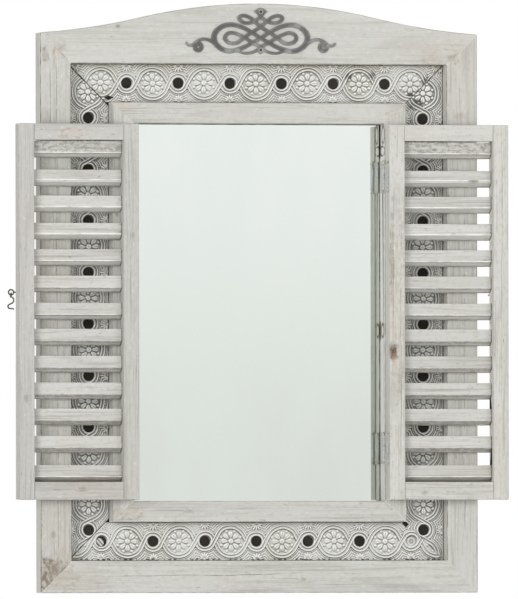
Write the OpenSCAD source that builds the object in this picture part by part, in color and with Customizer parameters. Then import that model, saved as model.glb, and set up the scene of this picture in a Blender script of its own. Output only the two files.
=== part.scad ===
// Wall mirror with a pair of louvred shutters, a band of pressed tin and an arched top.
// Millimetres. +Z is up and the front faces -Y. The wall is the plane y = 0, and the
// origin is the middle of the line between the two hanging holes. The shutters stand
// open, folded flat in front of the frame.

/* [Outer frame] */
// Width of the outer frame
frame_w = 600; // [540:5:720]
// Height of the outer frame at its shoulders
shoulder_h = 750; // [720:5:900]
// Rise of the arched top above the shoulders
crown_rise = 40; // [15:1:60]
// Slope of the arched top where it meets the shoulders, in degrees
shoulder_slope = 4; // [0:0.5:7]
// Width of the two outer upright boards
stile_w = 42; // [34:1:52]
// Height of the top board at its two ends
top_rail_w = 41; // [34:1:52]
// Height of the outer bottom board
bottom_rail_w = 43; // [34:1:52]
// Width of the step behind the outer boards that takes the carrier and the cover
rebate_w = 12; // [8:0.5:18]

/* [Inner frame] */
// Width of the mirror opening
opening_w = 344; // [280:2:360]
// Height of the mirror opening
opening_h = 506; // [400:2:520]
// Height of the opening's middle above the bottom edge of the frame
opening_lift = 376; // [370:1:390]
// Width of the inner upright boards
inner_stile_w = 30; // [24:1:36]
// Height of the inner top and bottom boards
inner_rail_w = 28; // [24:1:34]
// Width of the lip behind the inner boards that the glass lies against
lip_w = 8.5; // [5:0.5:12]
// Depth of the opening from the front face down to the glass
reveal_d = 26; // [24:0.5:32]

/* [Panels] */
// Thickness of the mirror glass
glass_t = 3; // [2:0.5:5]
// Overlap of the glass behind the lip, on each side
glass_overlap = 8; // [4:0.5:8]
// Thickness of the back cover
cover_t = 2.5; // [2:0.5:4]
// Depth of the tin band below the front face
tin_recess = 22; // [12:0.5:24]
// Thickness of the tin sheet
tin_t = 0.6; // [0.3:0.1:0.8]
// Clearance round the carrier, the cover, the glass and the tin strips
panel_gap = 0.5; // [0.2:0.1:1]

/* [Tin band] */
// Distance from one punched hole to the next in the side strips
tin_pitch = 69; // [50:1:80]
// Distance from one punched hole to the next in the top and bottom strips
row_pitch = 71; // [50:1:80]
// Diameter of the punched holes
tin_hole_d = 14.3; // [8:0.1:18]
// First hole of a side strip below the middle line of the top strip
side_start = 47; // [40:1:60]
// Shift of the bottom row's holes to the left of the middle
bottom_shift = 35.5; // [0:0.5:40]

/* [Shutters] */
// Thickness of the shutters
shutter_t = 24; // [20:0.5:29]
// Distance that the closed shutters stand proud of the frame
shutter_proud = 3.5; // [3:0.5:10]
// Gap between the two closed shutters
centre_gap = 9.5; // [9.5:0.5:14]
// Gap above and below a closed shutter
end_gap = 1.5; // [1:0.5:4]
// Width of the shutters' upright boards
shutter_stile_w = 21; // [18:1:28]
// Height of the shutters' top board
shutter_top_w = 22; // [18:1:30]
// Height of the shutters' bottom board
shutter_bottom_w = 24; // [18:1:30]
// Length of the tenons on the shutters' top and bottom boards
tenon_l = 12; // [8:1:15]
// Thickness of those tenons
tenon_t = 7; // [5:0.5:8]
// Shoulder left above and below a tenon
tenon_shoulder = 4; // [3:0.5:6]

/* [Louvre slats] */
// Number of slats in each shutter
slat_count = 13; // [5:1:15]
// Height of a slat's front face
slat_face = 16; // [10:0.5:18]
// Drop of a slat's lower face towards the wall
slat_drop = 6.4; // [3:0.1:9]
// Depth of a slat from front to back
slat_d = 11.5; // [6:0.5:14]
// Distance of the slats from the shutter's outer face
slat_inset = 2; // [0.5:0.5:6]
// Length of a slat's end in its housing
slat_seat = 4; // [2:0.5:6]
// Play of a slat's end in its housing
slat_play = 0.3; // [0.1:0.1:0.6]
// Gap between the top board and the first slat
first_slat = 1; // [0.6:0.2:3]
// Extra gap below the first slat, which stands close under the top board
first_drop = 2.5; // [0:0.5:4]
// Extra gap above the last slat, which rests on the bottom board
last_slat = 4; // [0:0.5:6]

/* [Hinges] */
// Height of a hinge
hinge_h = 42; // [30:1:50]
// Height of the hinges above and below the middle of the opening
hinge_rise = 182; // [120:1:200]
// Gap between the reveal and the closed shutter's edge
hinge_gap = 3.4; // [3.4:0.2:6]
// Distance of the hinge pins in front of the frame's face
hinge_out = 5.25; // [5.25:0.25:8]
// Thickness of the hinge leaves
leaf_t = 1.2; // [0.8:0.1:1.3]
// Reach of the hinge leaves from the front edge of the wood
leaf_reach = 19; // [14:0.5:20]
// Outer radius of the knuckles
knuckle_r = 2; // [1.8:0.1:2.1]
// Radius of the hinge pins
pin_r = 1; // [0.8:0.1:1.1]
// Play between a pin and its knuckles
pin_play = 0.05; // [0.03:0.01:0.1]
// Distance of a leaf's screws from the middle of the hinge
leaf_screw_z = 12.6; // [8:0.2:14]

/* [Latch] */
// Height of the latch above the bottom edge of the frame
latch_lift = 402; // [350:1:420]
// Radius of the ring of a screw eye, to the middle of its wire
ring_r = 3.5; // [3.5:0.1:4.5]
// Radius of the latch's wire
wire_r = 1; // [0.8:0.1:1]
// Distance of the hook's ring past the edge of the left shutter
ring_past = 5.2; // [5:0.1:6]
// Distance of the hook's plane from the shutters' outer face
hook_off = 4; // [3.7:0.1:6]
// Radius of the hook's bend
hook_bend = 4.5; // [4:0.1:5]
// Length of the hook's tip
hook_tip = 5; // [4:0.5:8]

/* [Scroll ornament] */
// Thickness of the scroll ornament
scroll_t = 2; // [1:0.5:3]
// Height of the ornament's lowest point above the top board's lower edge
scroll_lift = 13; // [8:0.5:16]
// Shift of the ornament to the right of the middle
scroll_shift = 2; // [-5:0.5:5]

/* [Hanging and screws] */
// Distance of the hanging holes below the shoulders
hang_drop = 60; // [50:1:120]
// Radius of the hanging holes
hang_hole_r = 4; // [3:0.5:5]
// Height of a hanger plate
hanger_h = 52; // [46:1:60]
// Width of a hanger plate
hanger_w = 16; // [14:1:18]
// Thickness of a hanger plate
hanger_t = 1.5; // [1:0.5:2]
// Depth of the pocket that is drilled behind a hanging hole
pocket_d = 11; // [8:1:14]
// Radius of the wood screws' shanks
screw_r = 1.5; // [1.2:0.1:1.8]
// Radius of the wood screws' heads
screw_head_r = 3; // [2.6:0.1:3.2]
// Length of the wood screws
screw_l = 16; // [12:1:18]
// Play round each screw in its hole
screw_play = 0.1; // [0.05:0.05:0.2]

/* [Hidden] */
$fn = 48;

// Colours of the wood, the metals and the glass
wood = [0.80, 0.79, 0.76];
slat_wood = [0.84, 0.83, 0.80];
tin_colour = [0.72, 0.72, 0.71];
iron = [0.43, 0.43, 0.42];
zinc = [0.70, 0.73, 0.74];
board_brown = [0.30, 0.27, 0.23];
glass_colour = [0.88, 0.92, 0.89];

// Heights
z_bottom = hang_drop - shoulder_h;
z_shoulder = hang_drop;
z_open = z_bottom + opening_lift;
z_latch = z_bottom + latch_lift;

// Half sizes of the opening, the inner frame and the window in the outer frame
open_x = opening_w / 2;
open_z = opening_h / 2;
inner_x = open_x + inner_stile_w;
inner_z = open_z + inner_rail_w;
window_x = frame_w / 2 - stile_w;
window_lo = z_bottom + bottom_rail_w;
window_hi = z_shoulder - top_rail_w;

// Depths, counted from the wall: the cover and the glass lie behind the lip
frame_d = reveal_d + glass_t + cover_t;
carrier_t = frame_d - tin_recess - tin_t - cover_t;
rebate_d = cover_t + carrier_t;
y_front = -frame_d;
y_glass = -cover_t - glass_t;
eps = 1;

// The arch is a round crown between two hollow curves that end at the shoulders
crown_x = 0.53 * frame_w / 2;
hollow_x = frame_w / 2 - crown_x;
function arch_angle(n, a) = n == 0 ? a :
  arch_angle(n - 1, (a + 2 * atan((crown_rise - hollow_x * tan((a + shoulder_slope) / 2)) / crown_x)) / 2);
arch_a = arch_angle(20, 10);
crown_r = crown_x / sin(arch_a);
hollow_r = hollow_x / (sin(arch_a) - sin(shoulder_slope));
z_crown = z_shoulder + crown_rise;
z_bend = z_crown - crown_r * (1 - cos(arch_a));
arch_steps = 12;
right_hollow = [for (i = [0:arch_steps]) let (a = arch_a + (shoulder_slope - arch_a) * i / arch_steps)
  [crown_x + hollow_r * (sin(arch_a) - sin(a)), z_bend - hollow_r * (cos(a) - cos(arch_a))]];
crown = [for (i = [1 - arch_steps:arch_steps - 1]) let (a = arch_a * i / arch_steps)
  [crown_r * sin(a), z_crown - crown_r * (1 - cos(a))]];
left_hollow = [for (i = [arch_steps:-1:0]) [-right_hollow[i][0], right_hollow[i][1]]];
arch = concat(left_hollow, crown, right_hollow);

// Latch: the hook hangs from a loop round the lowest point of its ring
loop_r = 2 * wire_r + 0.3;
bend_turn = 150;
bend_over = 14;
bend_z = -ring_r - loop_r - hook_bend - 0.3;
slope_l = 4;
slope_end = [hook_bend * cos(60) - slope_l * cos(30), bend_z - hook_bend * sin(60) - slope_l * sin(30)];
tip_bend = 2.8;
tip_centre = [slope_end[0] + tip_bend * sin(30), slope_end[1] - tip_bend * cos(30)];
hook_l = -(tip_centre[1] - tip_bend);
// Lean of the hanging hook, which puts its weight under the ring
hang_tilt = 5.02;
neck_in = 3.5;
eye_l = 10;
latch_depth = 2 * ring_r + 2 * wire_r + 0.2;

// Shutters: sizes, and the places of the hinge pins. The pins stand further out where an
// open shutter's latch would lie in front of the frame.
shutter_w = (opening_w - 2 * hinge_gap - centre_gap) / 2;
shutter_h = opening_h - 2 * end_gap;
free_x = open_x + shutter_w;
catch_x = free_x - (hook_l + ring_past - centre_gap);
latch_clear = catch_x - ring_r - wire_r > frame_w / 2 + 1;
pin_out = latch_clear ? hinge_out : max(hinge_out, (latch_depth + 1 + shutter_proud) / 2);
pin_x = open_x - hinge_gap / 2;
pin_y = y_front - pin_out;
y_outer = 2 * pin_y - (y_front - shutter_proud);
y_inner = y_outer - shutter_t;
hinge_z = [z_open + hinge_rise, z_open - hinge_rise];

// Slats: the last one rests on the bottom board, and the others wander a little from even steps
louvre_hi = z_open + shutter_h / 2 - shutter_top_w;
louvre_lo = z_open - shutter_h / 2 + shutter_bottom_w;
slat_h = slat_face + slat_drop;
slat_step = (louvre_hi - louvre_lo - first_slat - first_drop - slat_h - last_slat) / (slat_count - 1);
slat_wander = 0.5;
function slat_z(i) = i == 0 ? louvre_hi - first_slat : louvre_hi - first_slat - first_drop - slat_step * i
  - (i == slat_count - 1 ? last_slat : slat_wander * sin(137 * i));
slat_x0 = open_x + shutter_stile_w - slat_seat;
slat_x1 = free_x - shutter_stile_w + slat_seat;

// Hinges
knuckles = 5;
knuckle_h = hinge_h / knuckles;
knuckle_gap = 0.3;
leaf_back = 0.35;
leaf_screw_l = 11;
leaf_screw_r = 1.1;
leaf_head_r = 2.2;

// Places of the latch
hook_x = -free_x - ring_past;
hook_y = y_outer + hook_off;
catch_y = y_outer + ring_r + wire_r + 0.2;
catch_z = z_latch - 2.5;

// Screws through the back cover and the carrier
cover_screw_x = window_x + rebate_w / 2;
cover_screw_hi = window_hi + rebate_w / 2;
cover_screw_lo = window_lo - rebate_w / 2;
inner_screw_x = (open_x + lip_w + inner_x) / 2;
inner_screw_z = (open_z + lip_w + inner_z) / 2;
hanger_x = frame_w / 2 - (stile_w - rebate_w) / 2;
hanger_low = 38;
hanger_screw_z = [-hanger_low + 7, -hanger_low + 21];
hanger_screw_l = 14;
scroll_x = scroll_shift;
scroll_z = window_hi + scroll_lift;
scroll_screws = [[0, 57], [0, 5.8]];
scroll_screw_r = 1.3;
scroll_head_r = 2.1;
scroll_screw_l = 14;

// ---- Shared shapes ----

// A block between two corners
module block(a, b) {
  translate(a) cube(b - a);
}

// A flat board of the given outline in XZ, from depth y0 to depth y1 with y0 below y1
module board(points, y0, y1) {
  translate([0, y1, 0]) rotate([90, 0, 0]) linear_extrude(y1 - y0) polygon(points);
}

// The same piece on the left side, when s is -1
module on_side(s) {
  if (s < 0) mirror([1, 0, 0]) children();
  else children();
}

// A countersunk wood screw along -Z with its head's face at z = 0, grown by play
module screw(r, head_r, l, play) {
  head_t = head_r - r;
  translate([0, 0, -l]) cylinder(r = r + play, h = l - head_t / 2);
  translate([0, 0, -head_t - play]) cylinder(r1 = r + play, r2 = head_r + play, h = head_t + play);
}

// A screw with a cross recess in its head
module cross_screw(r, head_r, l) {
  difference() {
    screw(r, head_r, l, 0);
    for (a = [0, 90]) rotate([0, 0, a]) cube([head_r, head_r / 5, head_r / 2], center = true);
  }
}

// A torus of wire round the Z axis
module wire_ring(r) {
  rotate_extrude() translate([r, 0]) circle(r = wire_r, $fn = 24);
}

// A bent wire in the XZ plane, from angle a0 through turn degrees, seen from the front
module wire_arc(r, a0, turn) {
  rotate([90, 0, 0]) rotate([0, 0, a0]) rotate_extrude(angle = turn)
    translate([r, 0]) circle(r = wire_r, $fn = 24);
}

// A straight length of the wire between two bends, seated a little way into each
module straight(l) {
  seat = 0.3 * wire_r;
  translate([0, 0, -seat]) cylinder(r = 0.95 * wire_r, h = l + 2 * seat, $fn = 24);
}

// ---- Outer frame ----

// Space for the carrier and the cover behind the outer boards
module rebate() {
  block([-window_x - rebate_w, -rebate_d, window_lo - rebate_w],
        [window_x + rebate_w, eps, window_hi + rebate_w]);
}

// Places of the countersunk screws that hold the cover: [x, z]
cover_rows = 4;
cover_columns = 3;
function spread(lo, hi, n) = [for (i = [0:n - 1]) lo + (hi - lo) * (i + 0.5) / n];
cover_screw_places = concat(
  [for (s = [-1, 1]) for (z = spread(window_lo, window_hi, cover_rows)) [s * cover_screw_x, z]],
  [for (z = [cover_screw_lo, cover_screw_hi]) for (x = spread(-window_x, window_x, cover_columns)) [x, z]]);

// Places of the screws that hold the inner boards: [x, z]
inner_screw_places = concat(
  [for (s = [-1, 1]) for (z = spread(-open_z, open_z, 3)) [s * inner_screw_x, z_open + z]],
  [for (s = [-1, 1]) for (x = spread(-open_x, open_x, 2)) [x, z_open + s * inner_screw_z]]);

module at_back(places) {
  for (p = places) translate([p[0], 0, p[1]]) rotate([-90, 0, 0]) children();
}

module back_screw_holes() {
  at_back(cover_screw_places) screw(screw_r, screw_head_r, screw_l, screw_play);
  at_back(inner_screw_places) screw(screw_r, screw_head_r, screw_l, screw_play);
}

// Recess, drilled pocket and screw holes for a hanger plate in the back of a stile
module hanger_cut() {
  translate([hanger_x, 0, 0]) {
    block([-hanger_w / 2 - screw_play, -hanger_t, -hanger_low - screw_play],
          [hanger_w / 2 + screw_play, eps, hanger_h - hanger_low + screw_play]);
    rotate([90, 0, 0]) cylinder(r = hang_hole_r + 2.5, h = pocket_d);
    at_back([for (z = hanger_screw_z) [0, z]]) screw(screw_r, screw_head_r, hanger_screw_l, screw_play);
  }
}

module outer_stile(s) {
  color(wood) on_side(s) difference() {
    board([[window_x, window_lo], [frame_w / 2, z_bottom], [frame_w / 2, z_shoulder], [window_x, window_hi]],
          y_front, 0);
    rebate();
    hanger_cut();
    at_back([for (p = cover_screw_places) if (p[0] > window_x) p])
      screw(screw_r, screw_head_r, screw_l, screw_play);
  }
}

module crest_rail() {
  color(wood) difference() {
    board(concat(arch, [[window_x, window_hi], [-window_x, window_hi]]), y_front, 0);
    rebate();
    at_back([for (p = cover_screw_places) if (p[1] > window_hi) p])
      screw(screw_r, screw_head_r, screw_l, screw_play);
    scroll_screw_holes();
  }
}

module outer_bottom_rail() {
  color(wood) difference() {
    board([[-frame_w / 2, z_bottom], [frame_w / 2, z_bottom], [window_x, window_lo], [-window_x, window_lo]],
          y_front, 0);
    rebate();
    at_back([for (p = cover_screw_places) if (p[1] < window_lo) p])
      screw(screw_r, screw_head_r, screw_l, screw_play);
  }
}

// ---- Inner frame ----

// Everything behind the inner boards except their lip
module lip_cut() {
  difference() {
    block([-inner_x - eps, -rebate_d, z_open - inner_z - eps], [inner_x + eps, eps, z_open + inner_z + eps]);
    block([-open_x - lip_w, -rebate_d - eps, z_open - open_z - lip_w],
          [open_x + lip_w, 2 * eps, z_open + open_z + lip_w]);
  }
}

module inner_stile(s) {
  color(wood) on_side(s) difference() {
    board([[open_x, z_open - open_z], [inner_x, z_open - inner_z],
           [inner_x, z_open + inner_z], [open_x, z_open + open_z]], y_front, y_glass);
    lip_cut();
    at_back([for (p = inner_screw_places) if (p[0] > open_x) p])
      screw(screw_r, screw_head_r, screw_l, screw_play);
    for (z = hinge_z) frame_leaf_screw_places(z) screw(leaf_screw_r, leaf_head_r, leaf_screw_l, screw_play);
  }
}

module inner_rail(s) {
  color(wood) difference() {
    board([[-open_x, z_open + s * open_z], [open_x, z_open + s * open_z],
           [inner_x, z_open + s * inner_z], [-inner_x, z_open + s * inner_z]], y_front, y_glass);
    lip_cut();
    at_back([for (p = inner_screw_places) if (abs(p[0]) < open_x) p])
      screw(screw_r, screw_head_r, screw_l, screw_play);
  }
}

// ---- Tin band ----

y_tin = y_front + tin_recess;
tin_lo = (window_lo + z_open - inner_z) / 2;
tin_hi = (window_hi + z_open + inner_z) / 2;
tin_x = (window_x + inner_x) / 2;
side_count = floor((tin_hi - tin_lo - side_start - tin_hole_d) / tin_pitch) + 1;
row_count = 2 * floor((tin_x - tin_hole_d) / row_pitch + 0.5);
// Places along a row, without those where a hole would reach the mitre
function row_places(shift) = [for (i = [0:row_count - 1])
  let (x = (i - (row_count - 1) / 2) * row_pitch - shift) if (abs(x) < tin_x - tin_hole_d) x];

module tin_holes(places) {
  for (p = places) translate([p[0], y_tin - eps, p[1]]) rotate([-90, 0, 0])
    cylinder(d = tin_hole_d, h = tin_t + 2 * eps);
}

// A mitred strip of tin: outer edge a to b, inner edge c to d
module tin_strip(a, b, c, d, places) {
  color(tin_colour) difference() {
    board([a, b, d, c], y_tin, y_tin + tin_t);
    tin_holes(places);
  }
}

tin_edge_x = window_x - panel_gap;
tin_inner_x = inner_x + panel_gap;
tin_edge_lo = window_lo + panel_gap;
tin_edge_hi = window_hi - panel_gap;
tin_inner_lo = z_open - inner_z - panel_gap;
tin_inner_hi = z_open + inner_z + panel_gap;

module tin_strip_side(s) {
  on_side(s) tin_strip([tin_edge_x, tin_edge_lo + panel_gap], [tin_edge_x, tin_edge_hi - panel_gap],
    [tin_inner_x, tin_inner_lo + panel_gap], [tin_inner_x, tin_inner_hi - panel_gap],
    [for (i = [0:side_count - 1]) [tin_x, tin_hi - side_start - i * tin_pitch]]);
}

module tin_strip_top() {
  tin_strip([-tin_edge_x, tin_edge_hi], [tin_edge_x, tin_edge_hi],
    [-tin_inner_x, tin_inner_hi], [tin_inner_x, tin_inner_hi],
    [for (x = row_places(0)) [x, tin_hi]]);
}

module tin_strip_bottom() {
  tin_strip([-tin_edge_x, tin_edge_lo], [tin_edge_x, tin_edge_lo],
    [-tin_inner_x, tin_inner_lo], [tin_inner_x, tin_inner_lo],
    [for (x = row_places(bottom_shift)) [x, tin_lo]]);
}

// ---- Panels behind the frame ----

module carrier_board() {
  panel_x = window_x + rebate_w - panel_gap;
  color(board_brown) difference() {
    block([-panel_x, -rebate_d, window_lo - rebate_w + panel_gap],
          [panel_x, -cover_t, window_hi + rebate_w - panel_gap]);
    block([-open_x - lip_w - panel_gap, -rebate_d - eps, z_open - open_z - lip_w - panel_gap],
          [open_x + lip_w + panel_gap, 0, z_open + open_z + lip_w + panel_gap]);
    back_screw_holes();
  }
}

module mirror_glass() {
  color(glass_colour)
    block([-open_x - glass_overlap, y_glass, z_open - open_z - glass_overlap],
          [open_x + glass_overlap, -cover_t, z_open + open_z + glass_overlap]);
}

module back_cover() {
  panel_x = window_x + rebate_w - panel_gap;
  color(board_brown) difference() {
    block([-panel_x, -cover_t, window_lo - rebate_w + panel_gap],
          [panel_x, 0, window_hi + rebate_w - panel_gap]);
    back_screw_holes();
  }
}

module cover_screws() {
  color(zinc) at_back(cover_screw_places) cross_screw(screw_r, screw_head_r, screw_l);
}

module inner_frame_screws() {
  color(zinc) at_back(inner_screw_places) cross_screw(screw_r, screw_head_r, screw_l);
}

// ---- Scroll ornament ----

// Catmull-Rom curve through all points but the first and the last, which only steer it
function through(a, b, c, d, t) = 0.5 * (2 * b + (c - a) * t + (2 * a - 5 * b + 4 * c - d) * t * t
  + (3 * b - a - 3 * c + d) * t * t * t);
curve_steps = 5;
function curve(p) = concat([for (i = [1:len(p) - 3]) for (k = [0:curve_steps - 1])
  through(p[i - 1], p[i], p[i + 1], p[i + 2], k / curve_steps)], [p[len(p) - 2]]);
// Tangent of a sampled curve, taken at its two ends from the steering points
function tangent(p, c, i) =
  i == 0 ? p[2] - p[0] : i == len(c) - 1 ? p[len(p) - 1] - p[len(p) - 3] : c[i + 1] - c[i - 1];
function beside(p, c, i, w) = let (t = tangent(p, c, i)) c[i] + [-t[1], t[0]] / norm(t) * w / 2;
// Outline of a strap of width w0 at its start and w1 at its end
function strap(p, w0, w1) = let (c = curve(p), n = len(c) - 1) concat(
  [for (i = [0:n]) beside(p, c, i, w0 + (w1 - w0) * i / n)],
  [for (i = [n:-1:0]) beside(p, c, i, -w0 - (w1 - w0) * i / n)]);

// Crossings of the straps on the middle line
neck = [0, 50];
cross_hi = [0, 36.7];
cross_mid = [0, 21.7];
cross_lo = [0, 9.8];
// Crossings of the right half
cross_top = [8.5, 44.1];
cross_upper = [12.2, 29.2];
cross_side = [22.2, 22.3];
cross_lower = [11.2, 15.4];
// Straps of the right half: each list has a steering point, the points of the strap, and a steering point
small_lower = [[-8, 55], neck, cross_top, [17.6, 41.6], [25.6, 43.4], [30.1, 47.8], [27.6, 51]];
small_upper = [[25.6, 43.4], [30.1, 47.8], [27.6, 51], [21.5, 51.6], [14.2, 48.6], cross_top, cross_hi, [-9, 30]];
inner_lower = [[-8.5, 44.1], cross_hi, cross_upper, cross_side, [31.5, 15.6], [39.5, 14.3],
  [45.8, 16.5], [49.2, 21.5], [45.4, 27.3]];
inner_upper = [[45.8, 16.5], [49.2, 21.5], [45.4, 27.3], [37.5, 28.5], [29.3, 25.6], cross_side, cross_lower,
  cross_lo, [-9, 4]];
big_upper = [[-11.2, 15.4], cross_mid, cross_upper, [20.6, 33.8], [30, 37.5], [42, 39.6], [53, 36.8],
  [61.5, 30.2], [64.3, 21.5], [60.8, 12.8]];
big_lower = [[61.5, 30.2], [64.3, 21.5], [60.8, 12.8], [52.5, 6.2], [42, 4], [31, 6.4], [20.6, 10.3],
  cross_lower, cross_mid, [-12.2, 29.2]];
bottom_arc = [[-7, 14], cross_lo, [6.5, 4.6], [14, 1.9], [23, 1.3], [33, 4.2], [42, 4]];
side_arm = [[58, 11], [63.5, 14.2], [71.5, 18.8], [80, 19.8], [87.6, 17], [92.4, 12.8],
  [97, 11.2], [100.6, 12.6], [102.6, 15.8], [103.6, 19]];
finial = [[0, 62.3], [5, 60.6], [9.2, 57.4], [5.5, 54.2], [2.4, 50.3], [-2.4, 50.3],
  [-5.5, 54.2], [-9.2, 57.4], [-5, 60.6]];
boss = [[0, -0.6], [5.8, 5.4], [0, 11.4], [-5.8, 5.4]];
curl_centre = [86, 9.4];
curl_r = 7.5;
curl_hole_r = 1.8;
crossing_r = 3.1;
boss_r = 4.5;
scroll_fillet = 0.5;

module scroll_half() {
  polygon(strap(small_lower, 4.4, 4.6));
  polygon(strap(small_upper, 4.6, 4.8));
  polygon(strap(inner_lower, 4.8, 5));
  polygon(strap(inner_upper, 5, 4.6));
  polygon(strap(big_upper, 4.8, 7.2));
  polygon(strap(big_lower, 7.2, 4.8));
  polygon(strap(bottom_arc, 4.4, 3));
  polygon(strap(side_arm, 4.6, 3));
  difference() {
    translate(curl_centre) circle(r = curl_r);
    translate(curl_centre) circle(r = curl_hole_r);
  }
}

module scroll_screw_holes() {
  translate([scroll_x, y_front - scroll_t, scroll_z]) for (p = scroll_screws)
    translate([p[0], 0, p[1]]) rotate([90, 0, 0])
      screw(scroll_screw_r, scroll_head_r, scroll_screw_l, screw_play);
}

// The flat shape, with its inner corners rounded
module scroll_outline() {
  offset(r = -scroll_fillet, $fn = 12) offset(delta = scroll_fillet) {
    scroll_half();
    mirror([1, 0]) scroll_half();
    polygon(finial);
    polygon(boss);
    translate(scroll_screws[1]) circle(r = boss_r);
    for (p = [neck, cross_hi, cross_mid, cross_lo]) translate(p) circle(r = crossing_r);
  }
}

module scroll_ornament() {
  color(iron) difference() {
    translate([scroll_x, y_front, scroll_z]) rotate([90, 0, 0]) linear_extrude(scroll_t) scroll_outline();
    scroll_screw_holes();
  }
}

module ornament_screws() {
  color(zinc) translate([scroll_x, y_front - scroll_t, scroll_z]) for (p = scroll_screws)
    translate([p[0], 0, p[1]]) rotate([90, 0, 0])
      cross_screw(scroll_screw_r, scroll_head_r, scroll_screw_l);
}

// ---- Hangers ----

module hanger_plate(s) {
  color(zinc) on_side(s) translate([hanger_x, 0, 0]) difference() {
    block([-hanger_w / 2, -hanger_t, -hanger_low], [hanger_w / 2, 0, hanger_h - hanger_low]);
    translate([0, eps, 0]) rotate([90, 0, 0]) cylinder(r = hang_hole_r, h = hanger_t + 2 * eps);
    at_back([for (z = hanger_screw_z) [0, z]]) screw(screw_r, screw_head_r, hanger_screw_l, screw_play);
  }
}

module hanger_screws() {
  color(zinc) for (s = [-1, 1]) translate([s * hanger_x, 0, 0])
    at_back([for (z = hanger_screw_z) [0, z]]) cross_screw(screw_r, screw_head_r, hanger_screw_l);
}

// ---- Hinges: each is drawn on the right side, in the open position ----

leaf_screw_y = y_front + leaf_reach - 5;

module frame_leaf_screw_places(z) {
  for (dz = [-leaf_screw_z, leaf_screw_z])
    translate([open_x - leaf_t, leaf_screw_y, z + dz]) rotate([0, -90, 0]) children();
}

module shutter_leaf_screw_places(z) {
  for (dz = [-leaf_screw_z, leaf_screw_z])
    translate([open_x - leaf_t, 2 * pin_y - leaf_screw_y + shutter_proud, z + dz])
      rotate([0, -90, 0]) children();
}

// One leaf with the knuckles whose numbers have the given parity, reaching to depth y
module leaf(z, parity, y) {
  translate([0, 0, z - hinge_h / 2]) difference() {
    union() {
      block([open_x - leaf_t, min(pin_y, y), 0], [open_x, max(pin_y, y), hinge_h]);
      for (i = [0:knuckles - 1]) if (i % 2 == parity)
        translate([pin_x, pin_y, i * knuckle_h + knuckle_gap / 2])
          cylinder(r = knuckle_r, h = knuckle_h - knuckle_gap);
    }
    for (i = [0:knuckles - 1]) if (i % 2 != parity) translate([pin_x, pin_y, i * knuckle_h - knuckle_gap / 2])
      cylinder(r = knuckle_r + leaf_back, h = knuckle_h + knuckle_gap);
    translate([pin_x, pin_y, -eps]) cylinder(r = pin_r + pin_play, h = hinge_h + 2 * eps);
  }
}

module frame_leaf(s, i) {
  color(zinc) on_side(s) difference() {
    leaf(hinge_z[i], 0, y_front + leaf_reach);
    frame_leaf_screw_places(hinge_z[i]) screw(leaf_screw_r, leaf_head_r, leaf_screw_l, screw_play);
  }
}

module shutter_leaf(s, i) {
  color(zinc) on_side(s) difference() {
    leaf(hinge_z[i], 1, y_outer - leaf_reach);
    shutter_leaf_screw_places(hinge_z[i]) screw(leaf_screw_r, leaf_head_r, leaf_screw_l, screw_play);
  }
}

module hinge_pin(s, i) {
  pin_head_t = 1;
  color(zinc) on_side(s) translate([pin_x, pin_y, hinge_z[i] - hinge_h / 2]) {
    cylinder(r = pin_r, h = hinge_h + pin_head_t);
    translate([0, 0, hinge_h + 0.1]) cylinder(r = knuckle_r, h = pin_head_t);
  }
}

module frame_leaf_screws() {
  color(zinc) for (s = [-1, 1]) on_side(s) for (z = hinge_z)
    frame_leaf_screw_places(z) cross_screw(leaf_screw_r, leaf_head_r, leaf_screw_l);
}

module shutter_leaf_screws(s) {
  color(zinc) on_side(s) for (z = hinge_z)
    shutter_leaf_screw_places(z) cross_screw(leaf_screw_r, leaf_head_r, leaf_screw_l);
}

// ---- Shutters: each is drawn on the right side, in the open position ----

// Section of a slat in YZ: upright front and back faces, with its top and bottom sloping down to the wall
module slat(z, x0, x1, play) {
  back = y_outer - slat_inset + play;
  front = y_outer - slat_inset - slat_d - play;
  translate([x0, 0, z]) rotate([90, 0, 90]) linear_extrude(x1 - x0)
    polygon([[front, play], [front, -slat_face - play], [back, -slat_h - play], [back, -slat_drop + play]]);
}

module all_slats(x0, x1, play) {
  for (i = [0:slat_count - 1]) slat(slat_z(i), x0, x1, play);
}

// The tenons of the top and bottom boards, grown by play
module tenons(play) {
  tenon_y = (y_outer + y_inner) / 2;
  tenon_x0 = open_x + shutter_stile_w - tenon_l;
  tenon_x1 = free_x - shutter_stile_w + tenon_l;
  for (z = [[louvre_hi, z_open + shutter_h / 2], [z_open - shutter_h / 2, louvre_lo]])
    block([tenon_x0 - play, tenon_y - tenon_t / 2 - play, z[0] + tenon_shoulder - play],
          [tenon_x1 + play, tenon_y + tenon_t / 2 + play, z[1] - tenon_shoulder + play]);
}

module shutter_stile(x0, x1) {
  difference() {
    block([x0, y_inner, z_open - shutter_h / 2], [x1, y_outer, z_open + shutter_h / 2]);
    intersection() {
      all_slats(slat_x0 - slat_play, slat_x1 + slat_play, slat_play);
      block([open_x, y_inner - eps, louvre_lo], [free_x, y_outer + eps, louvre_hi]);
    }
    tenons(screw_play);
  }
}

module hinge_stile(s) {
  color(wood) on_side(s) difference() {
    shutter_stile(open_x, open_x + shutter_stile_w);
    for (z = hinge_z) shutter_leaf_screw_places(z) screw(leaf_screw_r, leaf_head_r, leaf_screw_l, screw_play);
  }
}

module free_stile(s) {
  color(wood) difference() {
    on_side(s) shutter_stile(free_x - shutter_stile_w, free_x);
    eye_shank(s, wire_r + screw_play);
  }
}

module shutter_rail(s, z0, z1) {
  color(wood) on_side(s) union() {
    block([open_x + shutter_stile_w, y_inner, z0], [free_x - shutter_stile_w, y_outer, z1]);
    intersection() {
      tenons(0);
      block([open_x, y_inner, z0], [free_x, y_outer, z1]);
    }
  }
}

module top_rail(s) {
  shutter_rail(s, louvre_hi, z_open + shutter_h / 2);
}

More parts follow.
